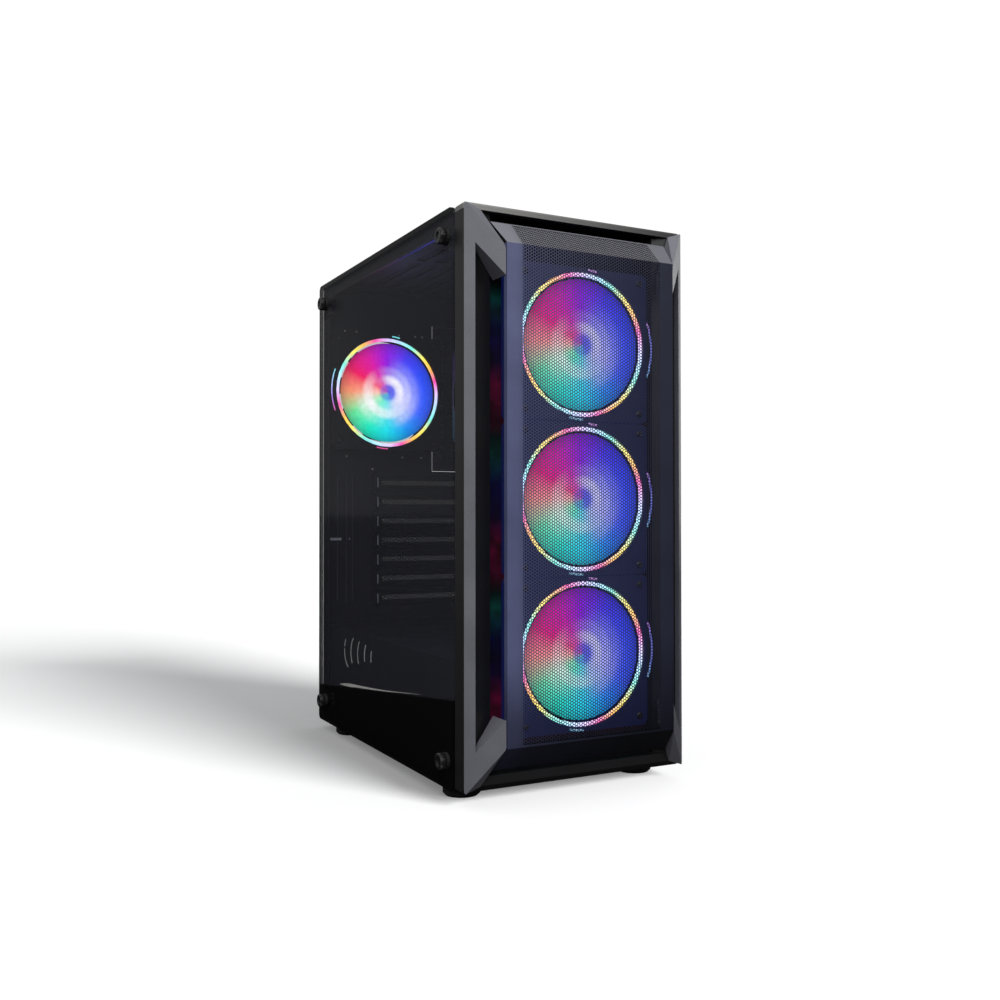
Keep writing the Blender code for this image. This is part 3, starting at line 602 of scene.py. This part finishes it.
slope = math.hypot(LIP_Z[1] - FACE_Z[1], LIP_B - FRONT_B)
run_low, run_high = FACE_Z[0] + LIP_MARGIN, FACE_Z[1] + slope - LIP_MARGIN
points, quads, _ = honeycomb(HOLES_A[1] - HOLES_A[0] + 2.5, run_high - run_low + 2.0, HOLE_PITCH,
                             HOLE_RADIUS)
middle_a, middle_run = sum(HOLES_A) / 2, (run_low + run_high) / 2
front = Build().add([front_point(u + middle_a, v + middle_run, 0.3) for u, v in points], quads)
top_run = FACE_Z[1] + slope
for a0, a1, lip in ((FACE_A[0], HOLES_A[0], LIP_A[0]), (HOLES_A[1], FACE_A[1], LIP_A[1])):
    left, right = (lip, a1) if lip < a0 else (a0, lip)
    front.quad(*(front_point(a, run) for a, run in ((a0, FACE_Z[0]), (a1, FACE_Z[0]),
                                                    (a1, FACE_Z[1]), (a0, FACE_Z[1]))))
    front.quad(front_point(a0, FACE_Z[1]), front_point(a1, FACE_Z[1]), front_point(right, top_run),
               front_point(left, top_run))
for run0, run1 in ((FACE_Z[0], run_low + 0.4), (run_high - 0.4, top_run)):
    front.quad(*(front_point(a, run) for a, run in ((HOLES_A[0], run0), (HOLES_A[1], run0),
                                                    (HOLES_A[1], run1), (HOLES_A[0], run1))))
low_lip = [at(LIP_A[0], LIP_B, LIP_Z[0]), at(LIP_A[1], LIP_B, LIP_Z[0])]
front.quad(*low_lip, at(FACE_A[1], FRONT_B, FACE_Z[0]), at(FACE_A[0], FRONT_B, FACE_Z[0]))
for face_a, side in ((FACE_A[0], 1), (FACE_A[1], -1)):
    edge = [at(face_a, b, z) for b, z in ((FRONT_B, FACE_Z[0]), (FRONT_B, FACE_Z[1]),
                                          (FRONT_B + 5.0, FACE_Z[1]), (FRONT_B + 5.0, FACE_Z[0]))]
    front.quad(*edge[::side])
piece("front_mesh_sheet", front.mesh("front_mesh_sheet", smooth=False), "chassis", "mesh_steel",
      stands_for=["front_mesh"])


# Fans: glowing rotors, light rings and accent pipes

def on_clock(radius, degrees, y=0.0):
    """A point at a clock angle, seen from the front, about a fan's centre."""
    angle = math.radians(degrees)
    return (radius * math.sin(angle), y, radius * math.cos(angle))


def glow_disc():
    """The blur of turning blades: a shallow dish round a raised hub."""
    rings = [(0.0, -0.9), (6, -0.9), (12, -0.75), (18, -0.4), (22, 0.0), (30, 0.25), (40, 0.3),
             (47, 0.2), (BLADE_REACH, 0.0)]
    steps = 96
    build, rows = Build(), []
    for radius, y in rings[1:]:
        rows.append([Vector(on_clock(radius, 360 * step / steps, y)) * MM for step in range(steps)])
    build.add([Vector((0, rings[0][1], 0)) * MM] + rows[0],
              [(0, 1 + step, 1 + (step + 1) % steps) for step in range(steps)])
    for inner, outer in zip(rows, rows[1:]):
        build.add(inner + outer, [(steps + step, steps + (step + 1) % steps, (step + 1) % steps, step)
                                  for step in range(steps)])
    return build


RING_RADIUS = 55.0
NOTCH_RADIUS = 59.0                            # of the two short pipes over and under the rotor
ARC_STEPS = 16


def fan_arc(radius, middle, reach):
    """Points along an arc, as far as reach to both sides of a clock angle."""
    return [Vector(on_clock(radius, middle - reach + 2 * reach * step / ARC_STEPS)) * MM
            for step in range(ARC_STEPS + 1)]


FRONT_LOOK = {
    "ring": light_ring("ring_light_front", 1.25),
    "blades": glowing_blades("rotor_glow_front", 1.15, 0.62, 0.12),
    "pipe": accent("accent_front", [(0, tint(40, 150, 190)), (0.3, tint(40, 70, 215)),
                                    (0.7, tint(52, 60, 215)), (1, tint(150, 50, 180))], 0.75),
    "pipe_angle": 90, "pipe_radius": 64.2, "pipe_width": 0.9}
REAR_LOOK = {
    "ring": light_ring("ring_light_rear", 2.3),
    "blades": glowing_blades("rotor_glow_rear", 2.0, 1.0, 0.0),
    "pipe": accent("accent_rear", [(0, tint(235, 50, 150)), (0.35, tint(170, 120, 255)),
                                   (0.6, tint(170, 190, 255)), (1, tint(110, 235, 240))], 1.9),
    "pipe_angle": 270, "pipe_radius": 61.9, "pipe_width": 0.6}
FANS = {"front_fan_top": FRONT_LOOK, "front_fan_middle": FRONT_LOOK, "front_fan_bottom": FRONT_LOOK,
        "rear_fan": REAR_LOOK}

for fan, look in FANS.items():
    low, high = case_box(fan + "_ring")
    centre = (low + high) / 2
    frame_b = case_box(fan + "_frame")[0][1]
    outline = [Vector(on_clock(RING_RADIUS, 3.0 * step)) * MM for step in range(120)]
    ring = Build().bar(outline, (0, 1, 0), 1.6 * MM, 1.5 * MM, 10, closed=True)
    piece(fan + "_light_ring", ring.mesh(fan + "_light_ring"), "chassis", "ring_diffuser",
          look["ring"], [fan + "_ring"], centre)
    rotor_b = case_box(fan + "_rotor")[0][1]
    piece(fan + "_glow", glow_disc().mesh(fan + "_glow"), fan + "_rotor", "rotor_plastic",
          look["blades"], (), (centre[0], rotor_b - 0.45, centre[2]))
    angle, reach = look["pipe_angle"], look["pipe_radius"]
    shelf = (reach + 58.4) / 2
    carrier = Build().bar(fan_arc(shelf, angle, 21), (0, 1, 0), (reach - shelf + 1.1) * MM, 0.35 * MM, 8)
    piece(fan + "_accent_carrier", carrier.mesh(fan + "_accent_carrier"), "chassis", "fan_black",
          None, (), (centre[0], frame_b + 0.5, centre[2]))
    pipes = Build()
    for arc in (fan_arc(reach, angle, 20), fan_arc(NOTCH_RADIUS, 187, 6), fan_arc(NOTCH_RADIUS, 8, 4)):
        pipes.bar(arc, (0, 1, 0), look["pipe_width"] * MM, 0.4 * MM, 6)
    piece(fan + "_accents", pipes.mesh(fan + "_accents"), "chassis", "ring_diffuser",
          look["pipe"], (), (centre[0], frame_b - 0.1, centre[2]))


# Thumbscrews: knurled heads with a round recess in the face

def thumbscrew(name, node, outward, body):
    """Replaces a plain screw; outward is the direction that its head faces."""
    low, high = case_box(node)
    axis = int(np.argmax(np.abs(outward)))
    length = high[axis] - low[axis]
    middle = (low + high) / 2
    head = 4.9                                 # length of the knurled head
    middle[axis] = low[axis] if outward[axis] < 0 else high[axis]
    radius = (high - low)[(axis + 1) % 3] / 2
    profile = [(1.2, 0.9, False), (2.6, 0.9, False), (3.1, 0.25, False), (3.5, 0.0, False),
               (radius - 1.0, 0.0, False), (radius - 0.35, 0.25, True), (radius, 0.9, True),
               (radius, head - 0.7, True), (radius - 0.4, head - 0.2, True),
               (radius - 1.4, head, False), (1.95, head, False), (1.95, length - 0.6, False),
               (1.5, length, False)]
    build = Build().lathe([(r * MM, y * MM, ridged) for r, y, ridged in profile], 30, 0.45 * MM)
    turn = Vector((0, 1, 0)).rotation_difference(-Vector(outward)).to_euler()
    return piece(name, build.mesh(name), body, "screw_black", None, [node], middle, turn)


for number in (1, 2, 3, 4):
    thumbscrew(f"glass_thumbscrew_{number}", f"glass_screw_{number}", (-1, 0, 0),
               f"glass_screw_{number}")
for number in (1, 2):
    thumbscrew(f"rear_thumbscrew_{number}", f"right_screw_{number}", (0, 1, 0),
               f"right_screw_{number}")


# Slot covers with rows of vent holes

SLOTS = range(1, 8)
OUTER_SKIN = 0.5                               # how far the sheet lies inside the cover's outer face


def dust_cloth():
    """A thin dark sheet with a fine thread texture: painted shade that dims the slot covers and what shows
    through their holes, letting a little light through.
    """
    finish = Finish("dust_cloth")
    threads = finish.noise(2600.0, 2.0)
    finish.set(Base_Color=finish.mix(threads, tint(12, 12, 14), tint(30, 30, 33)), Roughness=0.9,
               Alpha=finish.span(threads, 0.3, 0.7, 0.92, 0.95))
    return finish.material


shade_layer = Build()
for number in SLOTS:
    (a0, b0, z0), (a1, b1, z1) = case_box(f"slot_cover_{number}")
    cover = Build()
    perforated(cover, (a0, z0), (a1, z1), np.array([9.0, 3.6]), 3.5, 1.25,
               lambda a, z, depth: at(a, b1 - OUTER_SKIN - depth, z))
    cover.quad(at(a0, b0, z0), at(a0, b0, z1), at(a0, b1 - OUTER_SKIN, z1), at(a0, b1 - OUTER_SKIN, z0))
    piece(f"slot_cover_{number}_vented", cover.mesh(f"slot_cover_{number}_vented", False), "chassis",
          "black_steel", stands_for=[f"slot_cover_{number}"])
    # painted shade: a dark, nearly opaque sheet just inside each cover dims it and what shows through its
    # holes
    shade_layer.quad(*(at(a, b1 - 1.4, z) for a, z in ((a0 + 5, z0 + 1), (a1 - 5, z0 + 1),
                                                 (a1 - 5, z1 - 1), (a0 + 5, z1 - 1))))
piece("slot_shade_sheet", shade_layer.mesh("slot_shade_sheet"), "chassis", "filter_mesh", dust_cloth())


# Dust filters: fine mesh in a raised rim

def dust_filter(node, top):
    """Replaces a filter with a holed sheet over a solid backing, in a rim with a bar down its middle."""
    (a0, b0, z0), (a1, b1, z1) = case_box(node)
    name = node + "_screen"
    rim, half_bar, middle = 2.2, 1.2, (a0 + a1) / 2
    screen = Build()
    face, inward = (z1 - 0.1, -1.0) if top else (z0 + 0.1, 1.0)
    perforated(screen, (a0, b0), (a1, b1), 6.0, 3.0, 1.2,
               lambda a, b, depth: at(a, b, face + inward * (0.5 + depth)))
    screen.slab(at(a0 + 1, b0 + 1, face + inward * 1.1), at(a1 - 1, b1 - 1, face + inward * 1.4))
    for low, high in (((a0, b0), (a1, b0 + rim)), ((a0, b1 - rim), (a1, b1)),
                      ((a0, b0 + rim), (a0 + rim, b1 - rim)), ((a1 - rim, b0 + rim), (a1, b1 - rim)),
                      ((middle - half_bar, b0 + rim), (middle + half_bar, b1 - rim))):
        screen.slab(at(*low, z0), at(*high, z1))
    piece(name, screen.mesh(name, False), node, "filter_mesh", stands_for=[node])


dust_filter("top_filter", True)
dust_filter("bottom_filter", False)


# Small fixings

def screws(name, spots, outward, slot="bare_steel", radius=2.9):
    """Domed cross-slot screw heads at points of the case, facing outward along an axis."""
    group = Build()
    turn = Vector((0, -1, 0)).rotation_difference(Vector(outward)).to_matrix()
    profile = [(0.5, -0.75), (radius * 0.5, -1.15), (radius * 0.85, -0.8), (radius, -0.25), (radius, 0.1)]
    for spot in spots:
        head = Build().lathe([(r * MM, y * MM, False) for r, y in profile], steps=16)
        for arm in (0, 1):
            reach = (1.5, 0.28) if arm else (0.28, 1.5)
            head.slab(*[(side * reach[0] * MM, -1.28 * MM if side < 0 else -1.0 * MM,
                         side * reach[1] * MM) for side in (-1, 1)])
        group.add([turn @ Vector(point) + at(*spot) for point in head.points], head.faces)
    return piece(name, group.mesh(name), "chassis", slot)


def fan_corners(fan, b):
    """The spots of a fan's four screws, at a given depth in the case."""
    inset = 7.5
    low, high = case_box(fan + "_frame")
    return [(a, b, z) for a in (low[0] + inset, high[0] - inset) for z in (low[2] + inset, high[2] - inset)]


REAR_B = case_box("rear_panel")[1][1]          # outer face of the rear wall
BOARD_A = 171.0                                # face of the motherboard
psu_low, psu_high = case_box("psu")
for fan in FANS:
    screws(fan + "_front_screws", fan_corners(fan, case_box(fan + "_frame")[0][1]), (0, -1, 0),
           "screw_black")
screws("rear_fan_back_screws", fan_corners("rear_fan", REAR_B), (0, 1, 0), "screw_black")
screws("psu_screws", [(a, REAR_B, z) for a, z in (
    (psu_low[0] + 6, psu_high[2] - 6), (psu_low[0] + 6, psu_low[2] + 16),
    (psu_high[0] - 6, psu_high[2] - 6), (psu_high[0] - 6, psu_low[2] + 6))], (0, 1, 0), "screw_black")
screws("board_screws", [(BOARD_A, b, z) for b in (106.0, 222.0, 334.0) for z in (122.0, 268.0, 411.0)],
       (-1, 0, 0))


# Rear wall seen through the glass: ribs, a slot, vent holes and the slot covers' edges, all glowing a
# little with painted light; the slot and holes are flat glowing patches

def painted_glow(name, colour, strength):
    """Painted light: a pale surface that glows a little, standing in for light caught on an edge or showing
    through a hole.
    """
    finish = Finish(name)
    patch = finish.noise(180.0, 3.0)
    finish.set(Base_Color=finish.mix(patch, shade(colour, 0.6), colour), Roughness=0.5,
               Emission_Color=colour,
               Emission_Strength=finish.span(patch, 0.3, 0.7, 0.7 * strength, 1.2 * strength))
    return finish.material


INNER_REAR = REAR_B - 1.2 - 0.25               # just proud of the rear wall's inner face
ribs = Build()
for a in (19.2, 29.0, 35.7):
    ribs.bar([at(a, INNER_REAR, z) for z in (120.0, 186.0, 253.0)], (0, 1, 0), 0.5 * MM, 0.3 * MM, 6)
piece("rear_wall_ribs", ribs.mesh("rear_wall_ribs"), "chassis", "black_steel",
      painted_glow("rib_edge", tint(70, 70, 84), 0.06))
slot_light = Build()
slot_light.bar([at(a, INNER_REAR, 185.5) for a in (10.8, 17.0, 23.4)], (0, 1, 0), 1.4 * MM, 0.3 * MM, 8)
spots = [(32.4, 185.5, 0.8), (57.9, 259.4, 1.1)]
spots += [(a, 404.0, 0.9) for a in (27.0, 40.0, 88.0, 107.0, 115.0)]
spots += [(a, 272.5, 0.9) for a in (9.5, 29.0, 92.0, 114.0)]
for a, z, radius in spots:
    slot_light.add([at(a + radius * math.sin(t), INNER_REAR, z + radius * math.cos(t))
                    for t in np.linspace(0, 2 * math.pi, 10, endpoint=False)], [range(10)])
for number in SLOTS:
    low, high = case_box(f"slot_cover_{number}")
    middle = (low[2] + high[2]) / 2
    slot_light.bar([at(low[0] + 2.2, low[1] - 0.4, middle + rise) for rise in (-5.0, 0.0, 5.0)],
                   (0, 1, 0), 0.5 * MM, 0.3 * MM, 6)
piece("rear_wall_slots", slot_light.mesh("rear_wall_slots"), "chassis", "bare_steel",
      painted_glow("slot_edge", tint(150, 150, 165), 0.32))

SHROUD_A = case_box("psu_shroud")[0][0] - 0.15  # just proud of the shroud's side
VENT_Z, VENT_RADIUS = 78, 17
# painted glints: the shroud's vent arcs glow a little, standing in for light on their edges
arcs = Build()
for bulge, first, last in ((284, 12, 38), (284, -68, 4), (265.5, -38, 54), (246.7, -32, 46),
                           (228.2, -16, 40), (210.8, -12, 24)):
    arcs.bar([at(SHROUD_A, bulge + VENT_RADIUS * (math.cos(t) - 1), VENT_Z + VENT_RADIUS * math.sin(t))
              for t in np.radians(np.linspace(first, last, 11))], (1, 0, 0), 0.75 * MM, 0.3 * MM, 6)
arcs.bar([at(SHROUD_A, b, z) for b, z in ((294, 25.8), (283, 29.6), (272.5, 29.0), (262.4, 27.2),
                                              (254, 27.0), (206, 35.8))],
         (1, 0, 0), 0.7 * MM, 0.3 * MM, 6)
piece("shroud_vent_arcs", arcs.mesh("shroud_vent_arcs"), "chassis", "bare_steel",
      painted_glow("vent_edge", tint(205, 205, 208), 0.34))
# painted reflection: a pale glowing sliver along the shroud's side
edge = [(297, 42.0, 42.6), (283, 42.6, 45.0), (268, 43.6, 46.9), (248, 45.9, 48.3), (213, 49.2, 50.9),
        (175, 53.1, 54.2), (140, 57.4, 57.9), (96, 62.5, 62.7)]
sliver = Build()
for (b0, low0, high0), (b1, low1, high1) in zip(edge, edge[1:]):
    sliver.quad(*(at(SHROUD_A, b, z) for b, z in ((b0, low0), (b1, low1), (b1, high1), (b0, high0))))
piece("shroud_edge_gleam", sliver.mesh("shroud_edge_gleam"), "chassis", "bare_steel",
      painted_glow("shroud_edge", tint(205, 202, 196), 0.5))


def rail_gleam():
    """Fan light along the upper rail: blue at the front, pink and fainter towards the rear."""
    finish = Finish("rail_gleam")
    run = finish.span(finish.axes()[1], -0.12, 0.03)
    finish.set(Base_Color=tint(20, 20, 30), Roughness=0.5,
               Emission_Color=finish.ramp(run, [(0, tint(70, 70, 225)), (0.45, tint(50, 44, 190)),
                                                (0.8, tint(120, 40, 130)), (1, tint(150, 60, 90))]),
               Emission_Strength=finish.curve(run, [(0, 0.75), (0.3, 0.6), (0.7, 0.35), (1, 0.12)]))
    return finish.material


RAIL_A = case_box("top_panel")[0][0] - 0.2
rail = Build().bar([at(RAIL_A, b, z) for b, z in ((43, 430.7), (118, 431.4), (193, 432.2))],
                   (1, 0, 0), 0.5 * MM, 0.2 * MM, 6)
piece("top_rail_gleam", rail.mesh("top_rail_gleam"), "chassis", "bare_steel", rail_gleam())


# Small parts of the motherboard

parts = Build()
for b, z, wide, tall, thick in ((205, 150, 24, 24, 4), (260, 150, 9, 9, 1.2), (120, 200, 7, 7, 1.2),
                                (312, 214, 8, 8, 1.2), (128, 236, 5, 12, 1.0), (240, 250, 6, 6, 1.2),
                                (300, 176, 12, 5, 1.2), (330, 160, 5, 5, 1.0), (112, 120, 14, 8, 5),
                                (112, 150, 14, 8, 5), (150, 112, 22, 6, 6), (230, 112, 22, 6, 6)):
    parts.slab(at(BOARD_A - thick, b - wide / 2, z - tall / 2), at(BOARD_A, b + wide / 2, z + tall / 2))
piece("board_chips", parts.mesh("board_chips"), "chassis", "black_steel")
cans = Build()
turn = Vector((0, 1, 0)).rotation_difference(Vector((1, 0, 0))).to_matrix()
CAN_PROFILE = [(2.2, -8.0), (3.0, -7.6), (3.0, -1.4), (2.7, -1.0), (3.0, -0.6), (3.0, 0.1)]
can_spots = [(248 + 9 * i, 388 - 8 * (i % 2)) for i in range(6)]
can_spots += [(300, 290 + 11 * i) for i in range(6)]
can_spots += [(322, 116 + 9 * i) for i in range(5)]
can_spots += [(190 + 11 * i, 262) for i in range(4)]
for b, z in can_spots:
    can = Build().lathe([(r * MM, y * MM, False) for r, y in CAN_PROFILE], steps=16)
    cans.add([turn @ Vector(point) + at(BOARD_A, b, z) for point in can.points], can.faces)
piece("board_capacitors", cans.mesh("board_capacitors"), "chassis", "bare_steel")


# Main power cable

ROUTE = [(150.0, 199.4, 50.0), (150.0, 176.0, 50.0), (164.0, 140.0, 54.0), (188.0, 112.0, 72.0),
         (188.0, 84.0, 130.0), (188.0, 74.0, 220.0), (187.0, 73.0, 284.0), (176.0, 73.0, 300.0),
         (154.0, 78.0, 300.0), (143.0, 94.0, 300.0), (149.0, 104.5, 300.0), (154.0, 105.5, 300.0),
         (159.3, 105.5, 300.0)]
CABLE_DIAMETER = 9.0


def smooth(points, steps):
    """Points along a Catmull-Rom curve through the given points."""
    out = []
    ends = [points[0], *points, points[-1]]
    for before, start, end, after in zip(ends, ends[1:], ends[2:], ends[3:]):
        p0, p1, p2, p3 = (Vector(point) for point in (before, start, end, after))
        for step in range(steps):
            t = step / steps
            out.append(0.5 * (2 * p1 + (p2 - p0) * t + (2 * p0 - 5 * p1 + 4 * p2 - p3) * t * t
                              + (3 * p1 - p0 - 3 * p2 + p3) * t ** 3))
    return [*out, Vector(points[-1])]


line = [at(*point) for point in smooth(ROUTE, 6)]
data = bpy.data.curves.new("power_lead", "CURVE")
data.dimensions, data.bevel_depth, data.bevel_resolution = "3D", CABLE_DIAMETER / 2 * MM, 3
data.use_fill_caps = True
spline = data.splines.new("POLY")
spline.points.add(len(line) - 1)
for point, spot in zip(spline.points, line):
    point.co = (*spot, 1.0)
lead = piece("power_lead", data, "chassis", "cable_black", stands_for=["power_cable"])


# Floor, light and camera

AMBIENT = 0.33                                 # even light on the object
WHITE_BACK = 1.02                              # brightness of the background to the camera


def floor():
    """A wide floor, pale to the camera and dark to the light that it sends back."""
    mesh = bpy.data.meshes.new("studio_floor")
    reach, steps = 80.0, 64
    ring = [(reach * math.cos(2 * math.pi * i / steps), reach * math.sin(2 * math.pi * i / steps), 0)
            for i in range(steps)]
    mesh.from_pydata(ring, [], [list(range(steps))])
    made = bpy.data.objects.new("studio_floor", mesh)
    SCENE.collection.objects.link(made)
    finish = Finish("studio_floor")
    pale = finish.mix(finish.noise(3.0, 3.0), (0.86, 0.86, 0.86, 1), (0.9, 0.9, 0.9, 1))
    seen = finish.add("LightPath").outputs["Is Camera Ray"]
    finish.set(Base_Color=finish.mix(seen, (0.03, 0.03, 0.03, 1), pale), Roughness=0.9,
               Specular_IOR_Level=0.0, Emission_Color=(1, 1, 1, 1),
               Emission_Strength=finish.math("MULTIPLY", seen, 0.16))
    mesh.materials.append(finish.material)
    return made


def world():
    """White behind the object, and a dimmer even light on it."""
    made = bpy.data.worlds.new("studio")
    SCENE.world = made
    made.use_nodes = True
    tree = made.node_tree
    tree.nodes.clear()
    out = tree.nodes.new("ShaderNodeOutputWorld")
    mix = tree.nodes.new("ShaderNodeMixShader")
    seen = tree.nodes.new("ShaderNodeLightPath")
    tree.links.new(seen.outputs["Is Camera Ray"], mix.inputs[0])
    for socket, colour, strength in ((1, (0.97, 0.98, 1.0, 1), AMBIENT), (2, (1, 1, 1, 1), WHITE_BACK)):
        back = tree.nodes.new("ShaderNodeBackground")
        back.inputs["Color"].default_value = colour
        back.inputs["Strength"].default_value = strength
        tree.links.new(back.outputs[0], mix.inputs[socket])
    tree.links.new(mix.outputs[0], out.inputs[0])


def sun(name, azimuth, elevation, strength, spread):
    """Light from an azimuth (0 is in front, positive to the right) and elevation, in degrees."""
    data = bpy.data.lights.new(name, "SUN")
    data.energy, data.angle = strength, math.radians(spread)
    made = bpy.data.objects.new(name, data)
    turn, rise = math.radians(azimuth), math.radians(elevation)
    toward = Vector((math.sin(turn) * math.cos(rise), -math.cos(turn) * math.cos(rise), math.sin(rise)))
    made.rotation_euler = toward.to_track_quat("Z", "Y").to_euler()
    SCENE.collection.objects.link(made)
    return made


def panel(name, spot, aim, size, power):
    """A soft rectangular light at spot, facing aim, in metres."""
    data = bpy.data.lights.new(name, "AREA")
    data.shape, data.size, data.size_y, data.energy = "RECTANGLE", size[0], size[1], power
    made = bpy.data.objects.new(name, data)
    made.location = spot
    made.rotation_euler = (Vector(spot) - Vector(aim)).to_track_quat("Z", "Y").to_euler()
    SCENE.collection.objects.link(made)
    return made


def light_only(lamp, shown, state):
    """Limits a light to the floor, or keeps it off the floor."""
    group = bpy.data.collections.new(lamp.name + "_receivers")
    group.objects.link(shown)
    group.collection_objects[0].light_linking.link_state = state
    lamp.light_linking.receiver_collection = group


ground = floor()
world()
light_only(sun("floor_key", 19, 22, 6.0, 29), ground, "INCLUDE")
for lamp in (panel("front_left", (-0.85, -1.45, 1.05), (0.0, -0.17, 0.36), (0.8, 0.8), 14.0),
             panel("front", (0.25, -1.6, 1.15), (-0.03, -0.18, 0.4), (0.9, 0.8), 6.0),
             panel("top", (-0.2, -0.5, 1.9), (0.0, 0.0, 0.4), (1.2, 1.2), 9.0),
             panel("right_back", (1.6, 0.75, 0.7), (0.0, 0.0, 0.2), (1.0, 1.1), 4.5)):
    light_only(lamp, ground, "EXCLUDE")

LENS, SENSOR = 37.54, 36.0
CAMERA_SPOT = (-335.8, -700.0, 212.5)
CAMERA_TURN = (90.72, 0.04, -27.64)            # degrees about x, y and z
camera = bpy.data.objects.new("camera", bpy.data.cameras.new("camera"))
SCENE.collection.objects.link(camera)
camera.data.lens, camera.data.sensor_width = LENS, SENSOR
camera.location = at(*CAMERA_SPOT)
camera.rotation_euler = Euler([math.radians(angle) for angle in CAMERA_TURN])
camera.data.clip_start, camera.data.clip_end = 0.02, 200.0
SCENE.camera = camera
SCENE.view_settings.view_transform = "Standard"
